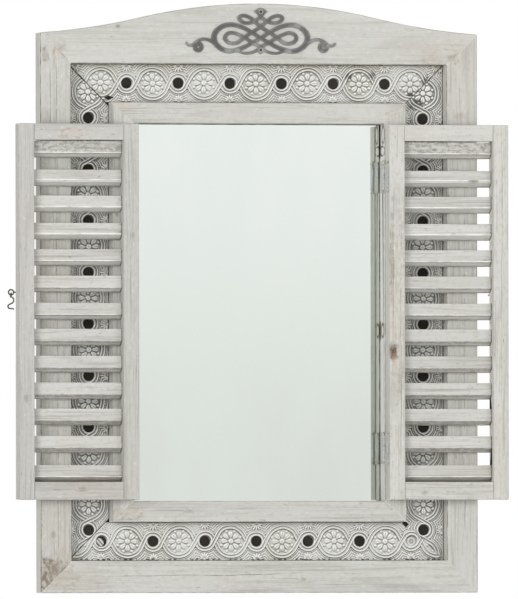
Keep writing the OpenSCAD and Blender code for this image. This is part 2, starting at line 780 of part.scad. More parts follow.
module bottom_rail(s) {
  shutter_rail(s, z_open - shutter_h / 2, louvre_lo);
}

module slats(s) {
  color(slat_wood) on_side(s) all_slats(slat_x0, slat_x1, 0);
}

// ---- Latch ----

// The straight shank of a screw eye in the outer face of a shutter: on the left the hook's,
// on the right the catch's
module eye_shank(s, r) {
  x = s < 0 ? -free_x + neck_in : catch_x;
  z = s < 0 ? z_latch : catch_z;
  y = s < 0 ? hook_y : catch_y - ring_r;
  translate([x, y, z]) rotate([90, 0, 0]) cylinder(r = r, h = y - y_outer + eye_l);
}

// The hook's screw eye: its neck is bent over, so that the ring stands past the shutter's edge
module hook_eye() {
  color(iron) {
    translate([hook_x, hook_y, z_latch]) rotate([90, 0, 0]) wire_ring(ring_r);
    translate([hook_x + ring_r, hook_y, z_latch]) rotate([0, 90, 0])
      cylinder(r = wire_r, h = ring_past + neck_in - ring_r);
    translate([-free_x + neck_in, hook_y, z_latch]) sphere(r = wire_r);
    eye_shank(-1, wire_r);
  }
}

module catch_eye() {
  color(iron) {
    translate([catch_x, catch_y, catch_z]) wire_ring(ring_r);
    eye_shank(1, wire_r);
  }
}

// The hook: a loop on the ring, a bend towards the shutter, a slope back and a turned tip
module latch_hook() {
  color(iron) translate([hook_x, hook_y, z_latch]) rotate([0, hang_tilt, 0]) {
    translate([0, 0, -ring_r]) rotate([0, 90, 0]) wire_ring(loop_r);
    translate([0, 0, bend_z]) wire_arc(hook_bend, -60, bend_turn + bend_over);
    translate([slope_end[0], 0, slope_end[1]]) rotate([0, 60, 0]) straight(slope_l);
    translate([tip_centre[0], 0, tip_centre[1]]) wire_arc(tip_bend, 120, bend_turn);
    translate([tip_centre[0], 0, -hook_l]) rotate([0, 90, 0]) straight(hook_tip);
    translate([tip_centre[0] + hook_tip, 0, -hook_l]) sphere(r = wire_r, $fn = 24);
  }
}

outer_stile(-1);  // outer_stile_left
outer_stile(1);  // outer_stile_right
crest_rail();
outer_bottom_rail();
inner_stile(-1);  // inner_stile_left
inner_stile(1);  // inner_stile_right
inner_rail(1);  // inner_top_rail
inner_rail(-1);  // inner_bottom_rail
tin_strip_side(-1);  // tin_strip_left
tin_strip_side(1);  // tin_strip_right
tin_strip_top();
tin_strip_bottom();
carrier_board();
mirror_glass();
back_cover();
cover_screws();
inner_frame_screws();
scroll_ornament();
ornament_screws();
hanger_plate(-1);  // hanger_plate_left
hanger_plate(1);  // hanger_plate_right
hanger_screws();
frame_leaf(-1, 0);  // frame_leaf_left_upper
frame_leaf(-1, 1);  // frame_leaf_left_lower
frame_leaf(1, 0);  // frame_leaf_right_upper
frame_leaf(1, 1);  // frame_leaf_right_lower
shutter_leaf(-1, 0);  // shutter_leaf_left_upper
shutter_leaf(-1, 1);  // shutter_leaf_left_lower
shutter_leaf(1, 0);  // shutter_leaf_right_upper
shutter_leaf(1, 1);  // shutter_leaf_right_lower
hinge_pin(-1, 0);  // hinge_pin_left_upper
hinge_pin(-1, 1);  // hinge_pin_left_lower
hinge_pin(1, 0);  // hinge_pin_right_upper
hinge_pin(1, 1);  // hinge_pin_right_lower
frame_leaf_screws();
shutter_leaf_screws(-1);  // left_leaf_screws
shutter_leaf_screws(1);  // right_leaf_screws
hinge_stile(-1);  // left_hinge_stile
free_stile(-1);  // left_free_stile
top_rail(-1);  // left_top_rail
bottom_rail(-1);  // left_bottom_rail
slats(-1);  // left_slats
hinge_stile(1);  // right_hinge_stile
free_stile(1);  // right_free_stile
top_rail(1);  // right_top_rail
bottom_rail(1);  // right_bottom_rail
slats(1);  // right_slats
hook_eye();
catch_eye();
latch_hook();
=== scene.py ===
import math

import bmesh
import bpy
import numpy as np
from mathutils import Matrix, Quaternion, Vector


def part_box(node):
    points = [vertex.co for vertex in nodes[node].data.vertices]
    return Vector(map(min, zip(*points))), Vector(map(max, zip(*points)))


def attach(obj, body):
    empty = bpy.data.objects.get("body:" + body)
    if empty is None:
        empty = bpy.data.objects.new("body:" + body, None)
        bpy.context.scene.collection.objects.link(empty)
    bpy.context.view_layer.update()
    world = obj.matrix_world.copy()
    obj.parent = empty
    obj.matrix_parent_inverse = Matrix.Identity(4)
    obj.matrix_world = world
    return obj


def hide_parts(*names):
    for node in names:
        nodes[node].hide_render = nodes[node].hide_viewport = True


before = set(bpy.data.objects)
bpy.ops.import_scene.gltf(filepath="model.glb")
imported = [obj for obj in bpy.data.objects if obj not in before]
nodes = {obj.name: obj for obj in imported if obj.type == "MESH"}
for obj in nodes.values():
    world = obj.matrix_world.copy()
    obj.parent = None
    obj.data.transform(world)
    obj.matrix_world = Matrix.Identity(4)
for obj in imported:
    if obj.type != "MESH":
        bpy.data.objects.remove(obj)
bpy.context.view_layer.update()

scene = bpy.context.scene
MM = 0.001
PER_M = 1000


def lin(r, g, b):
    """Colour from 8-bit display values, as linear light."""
    f = lambda c: c / 255 / 12.92 if c <= 10 else ((c / 255 + 0.055) / 1.055) ** 2.4
    return (f(r), f(g), f(b), 1.0)


# ---------------------------------------------------------------- places taken from the frame

OPENING_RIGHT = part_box("inner_stile_right")[0][0]
OPENING_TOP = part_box("inner_top_rail")[0][2]

UPPER_HINGE, LOWER_HINGE = (sum(corner[2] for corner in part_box("frame_leaf_left_" + which)) / 2
                            for which in ("upper", "lower"))
HINGE_MIDDLE, HINGE_RISE = (UPPER_HINGE + LOWER_HINGE) / 2, (UPPER_HINGE - LOWER_HINGE) / 2

screws_lo, screws_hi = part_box("ornament_screws")
SCREW_R = (screws_hi[0] - screws_lo[0]) / 2
SCREW_X = (screws_lo[0] + screws_hi[0]) / 2
ORNAMENT_SCREWS = [(SCREW_X * PER_M, z * PER_M) for z in (screws_hi[2] - SCREW_R, screws_lo[2] + SCREW_R)]

SLAT_COUNT, SLAT_HEIGHT = 13, 0.0224
slats_lo, slats_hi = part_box("right_slats")
# the two distances from the middle at which slats enter their stiles, the top of the first, and their pitch
SLATS = dict(near=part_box("right_hinge_stile")[1][0], far=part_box("right_free_stile")[0][0], top=slats_hi[2],
             pitch=(slats_hi[2] - slats_lo[2] - SLAT_HEIGHT) / (SLAT_COUNT - 1))


# ---------------------------------------------------------------- node tree helper

class Tree:
    """A short way to write a material's node tree. col is the colour so far."""

    def __init__(self, name):
        self.mat = bpy.data.materials.new(name)
        self.mat.use_nodes = True
        self.t = self.mat.node_tree
        self.t.nodes.clear()
        self.out = self.t.nodes.new("ShaderNodeOutputMaterial")
        coords = self.t.nodes.new("ShaderNodeTexCoord")
        self.coord, self.normal = coords.outputs["Object"], coords.outputs["Normal"]

    def put(self, socket, v):
        """Links or sets a socket, or leaves it as it is when v is None."""
        if v is None:
            return
        if isinstance(v, bpy.types.NodeSocket):
            self.t.links.new(v, socket)
        elif hasattr(socket.default_value, "__len__"):
            n = len(socket.default_value)
            socket.default_value = (tuple(v) + (1.0,))[:n] if hasattr(v, "__len__") else (v,) * n
        else:
            socket.default_value = v

    def math(self, op, a, b=None, c=None):
        n = self.t.nodes.new("ShaderNodeMath")
        n.operation = op
        for s, v in zip(n.inputs, (a, b, c)):
            self.put(s, v)
        return n.outputs[0]

    def times(self, *values):
        out = values[0]
        for v in values[1:]:
            out = self.math("MULTIPLY", out, v)
        return out

    def most(self, *values):
        out = values[0]
        for v in values[1:]:
            out = self.math("MAXIMUM", out, v)
        return out

    def minus(self, a, b):
        return self.math("SUBTRACT", a, b)

    def absolute(self, a):
        return self.math("ABSOLUTE", a)

    def scaled(self, a, by, plus):
        return self.math("MULTIPLY_ADD", a, by, plus)

    def vmath(self, op, a, b=None, out=0, scale=None):
        n = self.t.nodes.new("ShaderNodeVectorMath")
        n.operation = op
        self.put(n.inputs[0], a)
        self.put(n.inputs[1], b)
        if scale is not None:
            self.put(n.inputs["Scale"], scale)
        return n.outputs[out]

    def split(self, vec):
        n = self.t.nodes.new("ShaderNodeSeparateXYZ")
        self.put(n.inputs[0], vec)
        return n.outputs

    def join(self, x, y, z):
        n = self.t.nodes.new("ShaderNodeCombineXYZ")
        for s, v in zip(n.inputs, (x, y, z)):
            self.put(s, v)
        return n.outputs[0]

    def noise(self, vec, scale, detail=2.0, rough=0.5, out=0):
        """Noise of one scale, or of a scale for each axis. out is 0 for its value and 1 for its colour."""
        n = self.t.nodes.new("ShaderNodeTexNoise")
        if hasattr(scale, "__len__"):
            vec, scale = self.vmath("MULTIPLY", vec, scale), 1
        self.put(n.inputs["Vector"], vec)
        self.put(n.inputs["Scale"], scale)
        self.put(n.inputs["Detail"], detail)
        self.put(n.inputs["Roughness"], rough)
        return n.outputs[out]

    def stray(self, scale, detail=2.0, rough=0.5):
        """Noise that swings about 0."""
        return self.minus(self.noise(self.coord, scale, detail, rough), 0.5)

    def smooth(self, v, lo, hi, out_lo=0.0, out_hi=1.0):
        """Smooth step of v from out_lo at lo to out_hi at hi."""
        n = self.t.nodes.new("ShaderNodeMapRange")
        n.interpolation_type = "SMOOTHSTEP"
        for s, x in zip(n.inputs, (v, lo, hi, out_lo, out_hi)):
            self.put(s, x)
        return n.outputs[0]

    def mix(self, f, a, b):
        n = self.t.nodes.new("ShaderNodeMix")
        n.data_type = "RGBA"
        self.put(n.inputs[0], f)
        self.put(n.inputs[6], a)
        self.put(n.inputs[7], b)
        return n.outputs[2]

    def base(self, first, second, amount):
        """Starts the colour between two 8-bit colours."""
        self.col = self.mix(amount, lin(*first), lin(*second))

    def coat(self, rgb, *amounts):
        """Lays an 8-bit colour over the colour so far, by the product of the amounts."""
        self.col = self.mix(self.times(*amounts), self.col, lin(*rgb))

    def attribute(self, name):
        n = self.t.nodes.new("ShaderNodeAttribute")
        n.attribute_name = name
        return n.outputs["Fac"]

    def occlusion(self, distance, samples=6, inside=False):
        n = self.t.nodes.new("ShaderNodeAmbientOcclusion")
        n.samples, n.inside = samples, inside
        n.inputs["Distance"].default_value = distance
        return n.outputs["AO"]

    def bump(self, height, distance, strength):
        n = self.t.nodes.new("ShaderNodeBump")
        self.put(n.inputs["Height"], height)
        n.inputs["Distance"].default_value = distance
        n.inputs["Strength"].default_value = strength
        return n.outputs[0]

    def spot(self, x, z, rx, rz, ragged=0.5, scale=160):
        """Ragged distance from a place on the front, in millimetres: 1 at rx along X and rz along Z."""
        k = self.vmath("SUBTRACT", self.coord, (x * MM, 0, z * MM))
        d = self.vmath("LENGTH", self.vmath("MULTIPLY", k, (PER_M / rx, 0, PER_M / rz)), out=1)
        return self.scaled(self.stray(scale, 3, 0.6), ragged, d)

    def finish(self, rough, metallic, normal, specular):
        n = self.t.nodes.new("ShaderNodeBsdfPrincipled")
        self.put(n.inputs["Base Color"], self.col)
        self.put(n.inputs["Roughness"], rough)
        self.put(n.inputs["Metallic"], metallic)
        n.inputs["Specular IOR Level"].default_value = specular
        self.put(n.inputs["Normal"], normal)
        self.t.links.new(n.outputs[0], self.out.inputs[0])
        return self.mat


# ---------------------------------------------------------------- whitewashed wood

class Wood(Tree):
    """Worn white paint on softwood, with its grain along axis. face is the Y of the board's front."""

    def __init__(self, name, axis, seed, face, knots):
        super().__init__(name)
        self.axis, self.seed, self.face = axis, seed, face
        self.x, self.y, self.z = self.split(self.coord)
        self.nx, self.ny, self.nz = self.split(self.normal)
        self.front = self.smooth(self.y, face + 0.0015, face + 0.006, 1, 0)
        self.rings = self.pull = self.gaps = None
        for knot in knots:
            self.knot(*knot)
        self.grain()

    def knot(self, x, z, along, across, strength):
        """Rings of a knot with these radii along and across the grain, and its pull on the grain."""
        rx, rz = (across, along) if self.axis == "Z" else (along, across)
        d = self.spot(x, z, rx, rz)
        ring = self.scaled(self.math("SINE", self.times(d, 9)), 0.25, 0.75)
        ring = self.times(self.smooth(d, 0.6, 1.3, 1, 0), ring, strength)
        near = self.smooth(d, 0.75, 2.6, strength, 0)
        self.rings = ring if self.rings is None else self.most(self.rings, ring)
        self.pull = near if self.pull is None else self.most(self.pull, near)

    def grain(self):
        """The noises that the layers of paint follow, drawn out along the grain."""
        along = self.join(self.x, self.y, self.z) if self.axis == "Z" else self.join(self.z, self.y, self.x)
        p = self.vmath("ADD", along, tuple(self.seed * k for k in (0.713, 0.37, 1.91)))
        if self.pull is not None:
            p = self.vmath("ADD", p, self.vmath("SCALE", (0.012, 0.0, 0.0), scale=self.pull))
        warp = self.vmath("SUBTRACT", self.noise(p, (9, 9, 3), 2, out=1), (0.5, 0.5, 0.5))
        q = self.vmath("ADD", p, self.vmath("SCALE", warp, scale=0.012))
        self.along = p
        self.broad = self.noise(q, (45, 45, 3.2), 3, 0.55)
        self.lines = self.noise(q, (520, 520, 7), 3, 0.6)
        self.fine = self.noise(p, (1400, 1400, 40), 2, 0.6)
        self.waves = self.math("SINE", self.times(self.noise(q, (19, 19, 1.1), 1, 0.4), 74))
        self.patch = self.noise(p, (20, 20, 9), 4, 0.62)
        self.flecks = self.noise(p, (310, 310, 75), 2, 0.5)
        self.mottle = self.noise(p, (240, 240, 130), 3, 0.65)

    def whitewash(self, paint, wear):
        """Uneven paint, thin over the hard lines of the grain and off in flecks."""
        self.base(paint, [0.955 * c for c in paint], self.smooth(self.broad, 0.36, 0.74))
        self.coat((203, 197, 187), self.smooth(self.noise(self.coord, 6, 3, 0.6), 0.50, 0.72, 0, 0.45))
        self.coat((182, 178, 168), self.smooth(self.mottle, 0.50, 0.70, 0, 0.42 * wear))
        self.coat((224, 224, 219), self.smooth(self.mottle, 0.42, 0.28, 0, 0.60))
        self.coat((168, 164, 154), self.smooth(self.lines, 0.50, 0.70), self.smooth(self.broad, 0.22, 0.62),
                  0.80 * wear)
        self.coat((164, 158, 147), self.smooth(self.waves, 0.55, 1.0), self.smooth(self.patch, 0.40, 0.62),
                  0.30 * wear)
        self.coat((152, 144, 132), self.smooth(self.fine, 0.60, 0.82), 0.32 * wear)
        self.coat((158, 148, 134), self.smooth(self.patch, 0.62, 0.76), self.smooth(self.lines, 0.44, 0.60),
                  0.42 * wear)
        self.coat((122, 114, 102), self.smooth(self.flecks, 0.68, 0.76), 0.50 * wear)

    def slat_marks(self):
        """Each slat has its own tone, the first is greyer with a painted shadow of the top rail, and the lower
        arris has a painted highlight.
        """
        drop = self.times(self.minus(SLATS["top"], self.z), 1 / SLATS["pitch"])
        row = self.math("FLOOR", drop)
        below_top = self.times(self.math("FRACT", drop), SLATS["pitch"] * PER_M)
        own = self.noise(self.join(row, 7.7 * self.seed, 0.3), 3.1, 0)
        self.coat((184, 182, 174), self.smooth(own, 0.3, 0.7, 0.25, 0))
        # the first slat is greyed by a painted shadow of the top rail, broken into scribbles
        first = self.smooth(self.z, -0.109, -0.106)
        scribble = self.noise(self.along, (300, 300, 170), 4, 0.72)
        self.coat((146, 143, 134), first, self.smooth(self.ny, -0.9, -0.97),
                  self.smooth(scribble, 0.45, 0.62), 0.75)
        # the under-faces get painted light, then painted shade towards their far edge
        under = self.smooth(self.nz, -0.60, -0.80)
        self.coat((228, 226, 219), under, 0.25)
        foot = self.smooth(self.y, self.face + 0.0078, self.face + 0.0104)
        self.coat((116, 108, 94), under, foot, self.smooth(self.mottle, 0.35, 0.6, 0.5, 1), 0.7)
        # a painted highlight along the lower arris and the foot of each front face
        rubbed = self.times(self.smooth(self.ny, -0.985, -0.93), self.smooth(self.ny, -0.62, -0.54, 1, 0),
                            self.smooth(self.nz, -0.15, -0.3))
        lip = self.times(self.smooth(below_top, 14.5, 15.1), self.smooth(below_top, 16.2, 15.9),
                         self.smooth(self.ny, -0.8, -0.9))
        wander = self.smooth(self.noise(self.coord, (40, 40, 160), 2), 0.36, 0.56, 0.25, 1)
        self.coat((248, 247, 242), self.most(rubbed, lip), wander, 0.95)
        # more painted shade over the lower part of each under-face
        self.coat((132, 125, 112), under, self.smooth(below_top, 18.2, 16.9),
                  self.smooth(self.mottle, 0.35, 0.6, 0.3, 1), 0.55)
        # dark joint lines, with painted shade, where the slats enter the stiles
        off = self.absolute(self.x)
        entry = self.most(self.smooth(off, SLATS["near"] + 0.0018, SLATS["near"] + 0.0004),
                          self.smooth(off, SLATS["far"] - 0.0018, SLATS["far"] - 0.0004))
        self.coat((92, 86, 76), entry, self.smooth(self.flecks, 0.35, 0.6, 0.35, 0.85))

    def rubbed_edges(self, rgb, strength, lit_above):
        """Paint is off along a board's edges, but fills its mitres, which also get painted light against the
        shade in their groove. Edges above lit_above get a painted highlight.
        """
        flat = self.absolute(self.ny)
        edge = self.times(self.smooth(flat, 0.985, 0.93), self.smooth(flat, 0.08, 0.30))
        mitre = self.smooth(self.absolute(self.times(self.nx, self.nz)), 0.02, 0.08, 1, 0.18)
        broken = self.smooth(self.noise(self.coord, 70, 3, 0.6), 0.34, 0.62, 0.30, 1)
        self.coat(rgb, edge, mitre, broken, strength)
        # painted light on the mitre faces, against the shade in their groove
        self.coat((244, 243, 238), self.scaled(mitre, -0.85, 0.85))
        # a painted highlight along the upper arris
        if lit_above is not None:
            high = self.smooth(self.z, (lit_above - 2) * MM, lit_above * MM)
            self.coat((234, 234, 229), self.smooth(flat, 0.99, 0.93), high, 0.8)

    def stain(self, x, z, rx, rz, rgb, strength):
        """Bare or stained wood with a broken outline of lifted paint."""
        d = self.spot(x, z, rx, rz, 2.2, 95)
        self.coat(rgb, self.smooth(d, 0.1, 1.6, 1, 0), self.smooth(self.mottle, 0.35, 0.62, 0.35, 1),
                  self.front, strength)
        outline = self.smooth(self.absolute(self.minus(d, 0.95)), 0.24, 0.08)
        self.coat([0.74 * c for c in rgb], outline, self.smooth(self.mottle, 0.42, 0.58),
                  self.smooth(self.patch, 0.46, 0.56), self.front, 0.6 * strength)

    def reveal_knots(self, places):
        """Knots (y, z, radius along Y, radius along Z) on the side that faces the opening: pale wood inside
        brown cracks, which spread where the side meets the glass."""
        side = self.smooth(self.nx, -0.8, -0.95)
        self.coat((244, 243, 238), side, 0.5)
        for ky, kz, ry, rz in places:
            k = self.vmath("SUBTRACT", self.coord, (0, ky * MM, kz * MM))
            k = self.vmath("MULTIPLY", k, (0, PER_M / ry, PER_M / rz))
            d = self.scaled(self.stray(300), 0.35, self.vmath("LENGTH", k, out=1))
            deep = self.times(self.smooth(self.y, -0.014, -0.008),
                              self.smooth(self.absolute(self.split(k)[2]), 2.2, 1.2))
            ring = self.most(self.smooth(self.absolute(self.minus(d, 1.25)), 0.34, 0.16), deep)
            self.coat((230, 228, 221), side, self.smooth(d, 1.1, 0.9), 0.85)
            self.coat((96, 74, 56), side, ring, 0.9)

    def crack(self, x0, z0, x1, z1, width):
        """A wavering crack between two places on the front."""
        length = math.hypot(x1 - x0, z1 - z0)
        ux, uz = (x1 - x0) / length, (z1 - z0) / length
        from_end = self.vmath("SUBTRACT", self.coord, (x0 * MM, 0, z0 * MM))
        across = self.scaled(self.stray(12), 0.005, self.vmath("DOT_PRODUCT", from_end, (-uz, 0, ux), out=1))
        along = self.vmath("DOT_PRODUCT", from_end, (ux, 0, uz), out=1)
        gap = self.times(self.smooth(along, 0, 0.02),
                         self.smooth(along, length * MM - 0.02, length * MM, 1, 0),
                         self.smooth(self.absolute(across), width * MM * 0.4, width * MM, 1, 0),
                         self.smooth(self.noise(self.coord, 90, 2), 0.30, 0.55), self.front)
        self.gaps = gap if self.gaps is None else self.most(self.gaps, gap)

    def smeared_back(self):
        """The brush only smeared the back."""
        back = self.times(self.smooth(self.ny, 0.6, 0.9), self.smooth(self.y, -0.004, -0.001))
        bare = self.mix(self.smooth(self.lines, 0.35, 0.68), lin(188, 160, 124), lin(158, 126, 90))
        self.col = self.mix(self.times(back, self.smooth(self.patch, 0.34, 0.62, 0.95, 0.45)), self.col, bare)


def wood_material(name, axis, seed, face, bare_back, paint=(210, 210, 204), wear=1.0, knots=(), cracks=(),
                  stains=(), slats=False, arris=None, lit_above=None, reveals=()):
    """Whitewashed wood with its marks, whose places are in millimetres. arris is the colour and strength of
    a board's rubbed edges. The methods of Wood say what each knot, crack and stain gives."""
    w = Wood(name, axis, seed, face, knots)
    w.whitewash(paint, wear)
    if slats:
        w.slat_marks()
    else:
        w.rubbed_edges(*arris, lit_above)
    if knots:
        w.coat((176, 168, 154), w.pull, 0.22)
        w.coat((122, 110, 96), w.rings)
    for place in stains:
        w.stain(*place)
    if reveals:
        w.reveal_knots(reveals)
    for line in cracks:
        w.crack(*line)
    if cracks:
        w.coat((118, 110, 98), w.gaps, 0.6)
    if bare_back:
        w.smeared_back()
    # painted shade in creases and where parts close in, broken up by dirt
    dirt_and_shade = w.scaled(w.stray(130, 3), 0.5, w.occlusion(0.005))
    w.coat((112, 104, 90), w.smooth(dirt_and_shade, 0.30, 0.76, 0.50 if slats else 0.45, 0))
    height = w.scaled(w.lines, -0.7, w.scaled(w.fine, -0.35, w.times(w.broad, 0.8)))
    if cracks:
        height = w.minus(height, w.gaps)
    return w.finish(w.smooth(w.lines, 0.3, 0.7, 0.72, 0.86), 0, w.bump(height, 0.0005, 0.9), 0.3)


# ---------------------------------------------------------------- metals, boards and glass

def tin_material():
    """Whitewashed pressed tin: pale on its ridges, dark in its hollows, with painted highlight and shade that
    follow the relief.
    """
    t = Tree("pressed_tin")
    relief, edge, worn = t.attribute("relief"), t.attribute("edge"), t.attribute("worn")
    p = t.coord
    blotch = t.noise(p, 24, 4, 0.6)
    speck = t.noise(p, 480, 3, 0.65)
    drift = t.scaled(t.minus(speck, 0.5), 1.5, t.times(t.minus(blotch, 0.5), 1.2))
    t.base((214, 214, 210), (196, 195, 189), t.smooth(blotch, 0.34, 0.66))
    t.coat((186, 183, 168), t.smooth(t.noise(p, 11, 3), 0.52, 0.68, 0, 0.5))
    # olive wear and a painted shadow along one chosen edge of a strip
    t.coat((150, 146, 124), worn, t.smooth(blotch, 0.35, 0.6, 0.35, 1))
    t.coat((150, 147, 138), t.attribute("dull"), t.smooth(blotch, 0.3, 0.6, 0.6, 1), 0.15)
    # painted shade and dirt under each ridge and in the hollows, and white paint with a painted highlight on
    # the ridges and their upper flanks, as if lit from above
    lit_relief = t.scaled(t.attribute("slope"), 0.95, relief)
    t.coat((92, 90, 84), t.smooth(t.minus(drift, lit_relief), 0.35, 1.7), 0.9)
    t.coat((62, 60, 55), t.smooth(relief, -1.0, -1.9), t.smooth(blotch, 0.46, 0.60), 0.6)
    t.coat((248, 248, 244), t.smooth(t.math("ADD", drift, lit_relief), 0.12, 1.15), 0.95)
    t.coat((70, 67, 60), edge, t.smooth(t.noise(p, 85, 3, 0.6), 0.36, 0.60, 0.25, 1), 0.8)
    # painted shade where the relief closes in
    t.coat((84, 80, 72), t.smooth(t.occlusion(0.009), 0.25, 0.75, 0.4, 0))
    height = t.scaled(blotch, 2, speck)
    return t.finish(t.smooth(speck, 0.3, 0.7, 0.40, 0.62), 0.12, t.bump(height, 0.00035, 0.8), 0.5)


def iron_material():
    """Dull dark grey cast iron, rubbed lighter in places, with painted shade on the straps' rims and rings of
    old paint round its screws.
    """
    t = Tree("iron")
    p = t.coord
    a = t.noise(p, 180, 4, 0.6)
    b = t.noise(p, 45, 3, 0.6)
    t.base((118, 118, 117), (152, 152, 151), t.smooth(b, 0.34, 0.64))
    t.coat((98, 96, 94), t.smooth(a, 0.48, 0.68, 0, 0.5))
    t.coat((166, 165, 162), t.smooth(t.noise(p, 620, 2, 0.7), 0.58, 0.74, 0, 0.5))
    # painted shade darkens the straps' rims, and here and there a rim is rubbed bright with a painted
    # highlight
    rim = t.smooth(t.occlusion(0.0024, 8, True), 0.30, 0.75, 0, 1)
    t.coat((70, 68, 66), rim, t.smooth(b, 0.62, 0.50), 0.7)
    t.coat((170, 169, 166), rim, t.smooth(b, 0.56, 0.66), 0.45)
    for x, z in ORNAMENT_SCREWS:
        d = t.spot(x, z, 2.6, 2.6, 0.35, 600)
        t.coat((206, 204, 197), t.times(t.smooth(d, 0.72, 0.86), t.smooth(d, 1.10, 1.28, 1, 0)), 0.75)
    return t.finish(t.smooth(b, 0.3, 0.7, 0.46, 0.64), 0.35, t.bump(a, 0.0004, 0.8), 0.5)


def latch_material():
    """Dark wire, rubbed in places."""
    t = Tree("latch_iron")
    p = t.coord
    t.base((70, 68, 65), (118, 115, 110), t.smooth(t.noise(p, 240, 3, 0.6), 0.35, 0.65))
    t.coat((170, 165, 156), t.smooth(t.noise(p, 120, 3, 0.6), 0.56, 0.66, 0, 0.7))
    return t.finish(0.48, 0.5, t.bump(t.noise(p, 500, 3), 0.0002, 0.8), 0.5)


def zinc_material(name, low, high, paint, ends=False):
    """Dull zinc-plated steel with smears of the white paint, thicker at the hinges' ends if ends is set. A
    higher paint gives more of them."""
    t = Tree(name)
    p = t.coord
    a = t.noise(p, 150, 4, 0.6)
    t.base(low, high, t.smooth(a, 0.3, 0.7))
    smear = t.noise(t.vmath("ADD", p, (0.3, 0.1, 0.7)), 95, 4, 0.62)
    if ends:
        from_middle = t.absolute(t.math("ADD", t.split(p)[2], -HINGE_MIDDLE))
        far = t.smooth(t.absolute(t.minus(from_middle, HINGE_RISE)), 0.011, 0.019)
        smear = t.scaled(far, 0.26, smear)
    m = t.smooth(smear, 0.60 - 0.22 * paint, 0.66 - 0.22 * paint)
    t.coat((208, 206, 199), m)
    if ends:
        t.coat((96, 94, 90), t.smooth(t.noise(p, 400, 2), 0.55, 0.61), t.scaled(far, 0.65, 0.25))
    # painted shade where the metal closes in
    t.coat((96, 92, 84), t.smooth(t.occlusion(0.003), 0.3, 0.8, 0.6, 0))
    height = t.scaled(a, 0.3, m)
    rough, metallic = t.smooth(m, 0, 1, 0.40, 0.75), t.smooth(m, 0, 1, 0.75, 0.0)
    return t.finish(rough, metallic, t.bump(height, 0.0004, 0.9), 0.5)


def dark_board():
    """Black-brown hardboard behind the tin: its near-black is painted shade that makes the punched holes look
    deep.
    """
    t = Tree("dark_board")
    p = t.coord
    t.base((40, 39, 36), (54, 52, 48), t.smooth(t.noise(p, 60, 4, 0.6), 0.3, 0.7))
    t.coat((74, 70, 62), t.smooth(t.noise(p, 900, 2), 0.60, 0.74, 0, 0.5))
    return t.finish(0.85, 0, t.bump(t.noise(p, 1200, 2), 0.0002, 0.7), 0.2)


def cover_board():
    """Brown hardboard: a felted face with dark flecks."""
    t = Tree("cover_board")
    p = t.coord
    b = t.noise(p, 1400, 2, 0.6)
    t.base((128, 98, 68), (146, 114, 80), t.smooth(t.noise(p, 14, 4, 0.6), 0.35, 0.65))
    t.coat((92, 68, 46), t.smooth(b, 0.52, 0.70, 0, 0.6))
    t.coat((176, 146, 108), t.smooth(t.noise(p, 300, 3, 0.7), 0.60, 0.75, 0, 0.35))
    return t.finish(t.smooth(b, 0.3, 0.7, 0.62, 0.8), 0, t.bump(b, 0.0003, 0.7), 0.35)


def mirror_material():
    """Silvered glass, duller towards its foot, with the faint smears that a wiped mirror has, and painted
    shade along its right and top edges.
    """
    t = Tree("mirror_glass")
    x, y, z = t.split(t.coord)
    smear = t.noise(t.coord, (7, 7, 3), 4, 0.6)
    t.base((214, 220, 213), (235, 240, 236), t.smooth(z, -0.60, -0.03))
    t.coat((224, 231, 225), t.smooth(smear, 0.35, 0.70, 0, 0.4))
    # painted shade darkens the glass where it meets the frame, on the right and at the top
    rim = t.most(t.smooth(x, OPENING_RIGHT - 0.0018, OPENING_RIGHT - 0.0014),
                 t.smooth(z, OPENING_TOP - 0.0014, OPENING_TOP - 0.0008))
    broken = t.smooth(t.noise(t.coord, 60, 2), 0.3, 0.6, 0.6, 1)
    t.coat((44, 43, 40), rim, broken, t.smooth(z, -0.16, -0.09, 0.85, 1))
    return t.finish(t.smooth(smear, 0.35, 0.75, 0.012, 0.03), 1.0, None, 0.5)


# ---------------------------------------------------------------- pattern of the pressed tin, in millimetres

PERIOD = 69.0
PATTERN_CELL, SHEET_CELL = 0.25, 0.66
HOLE_LOOP, ROSETTE_LOOP = 10.9, 19.7
CORD_RIDGE, CORD_SPREAD = 2.1, 0.72
PETALS = 8
RELIEF = 1.65


def strand(side):
    """One strand of the plait over four periods: over the holes and under the rosettes for side 1. Each loop
    is part of a circle, and straight runs join them."""
    apart = PERIOD / 2
    lean = math.asin((HOLE_LOOP + ROSETTE_LOOP) / apart)
    a = np.linspace(-lean, lean, 60)
    u = np.concatenate([HOLE_LOOP * np.sin(a), apart + ROSETTE_LOOP * np.sin(a)])
    v = np.concatenate([HOLE_LOOP * np.cos(a), -ROSETTE_LOOP * np.cos(a)])
    u = np.concatenate([u + k * PERIOD for k in range(-1, 3)])
    v = side * np.tile(v, 4)
    s = np.concatenate([[0], np.cumsum(np.hypot(np.diff(u), np.diff(v)))])
    even = np.linspace(0, s[-1], 2400)
    return np.stack([np.interp(even, s, u), np.interp(even, s, v)], 1)


def nearest(points, line):
    """Distance of each point from the nearest one of a line."""
    out = np.empty(len(points))
    for i in range(0, len(points), 4000):
        d = points[i:i + 4000, None, :] - line[None]
        out[i:i + 4000] = np.sqrt((d ** 2).sum(2).min(1))
    return out


def step(x, lo, hi):
    """Smooth step from 0 at lo to 1 at hi."""
    s = np.clip((x - lo) / (hi - lo), 0, 1)
    return s * s * (3 - 2 * s)


def dome(q):
    """Height of a half sphere at the squared distance q from its middle."""
    return np.sqrt(np.clip(1 - q, 0, 1))


def bell(x, middle, spread):
    """Soft peak of height 1."""
    return np.exp(-((x - middle) / spread) ** 2)


def cord(d):
    """Height across a strand: a ridge along each side and a shallow filling between them."""
    return bell(d, CORD_RIDGE, CORD_SPREAD) + 0.30 * step(d, 3.6, 0.4)


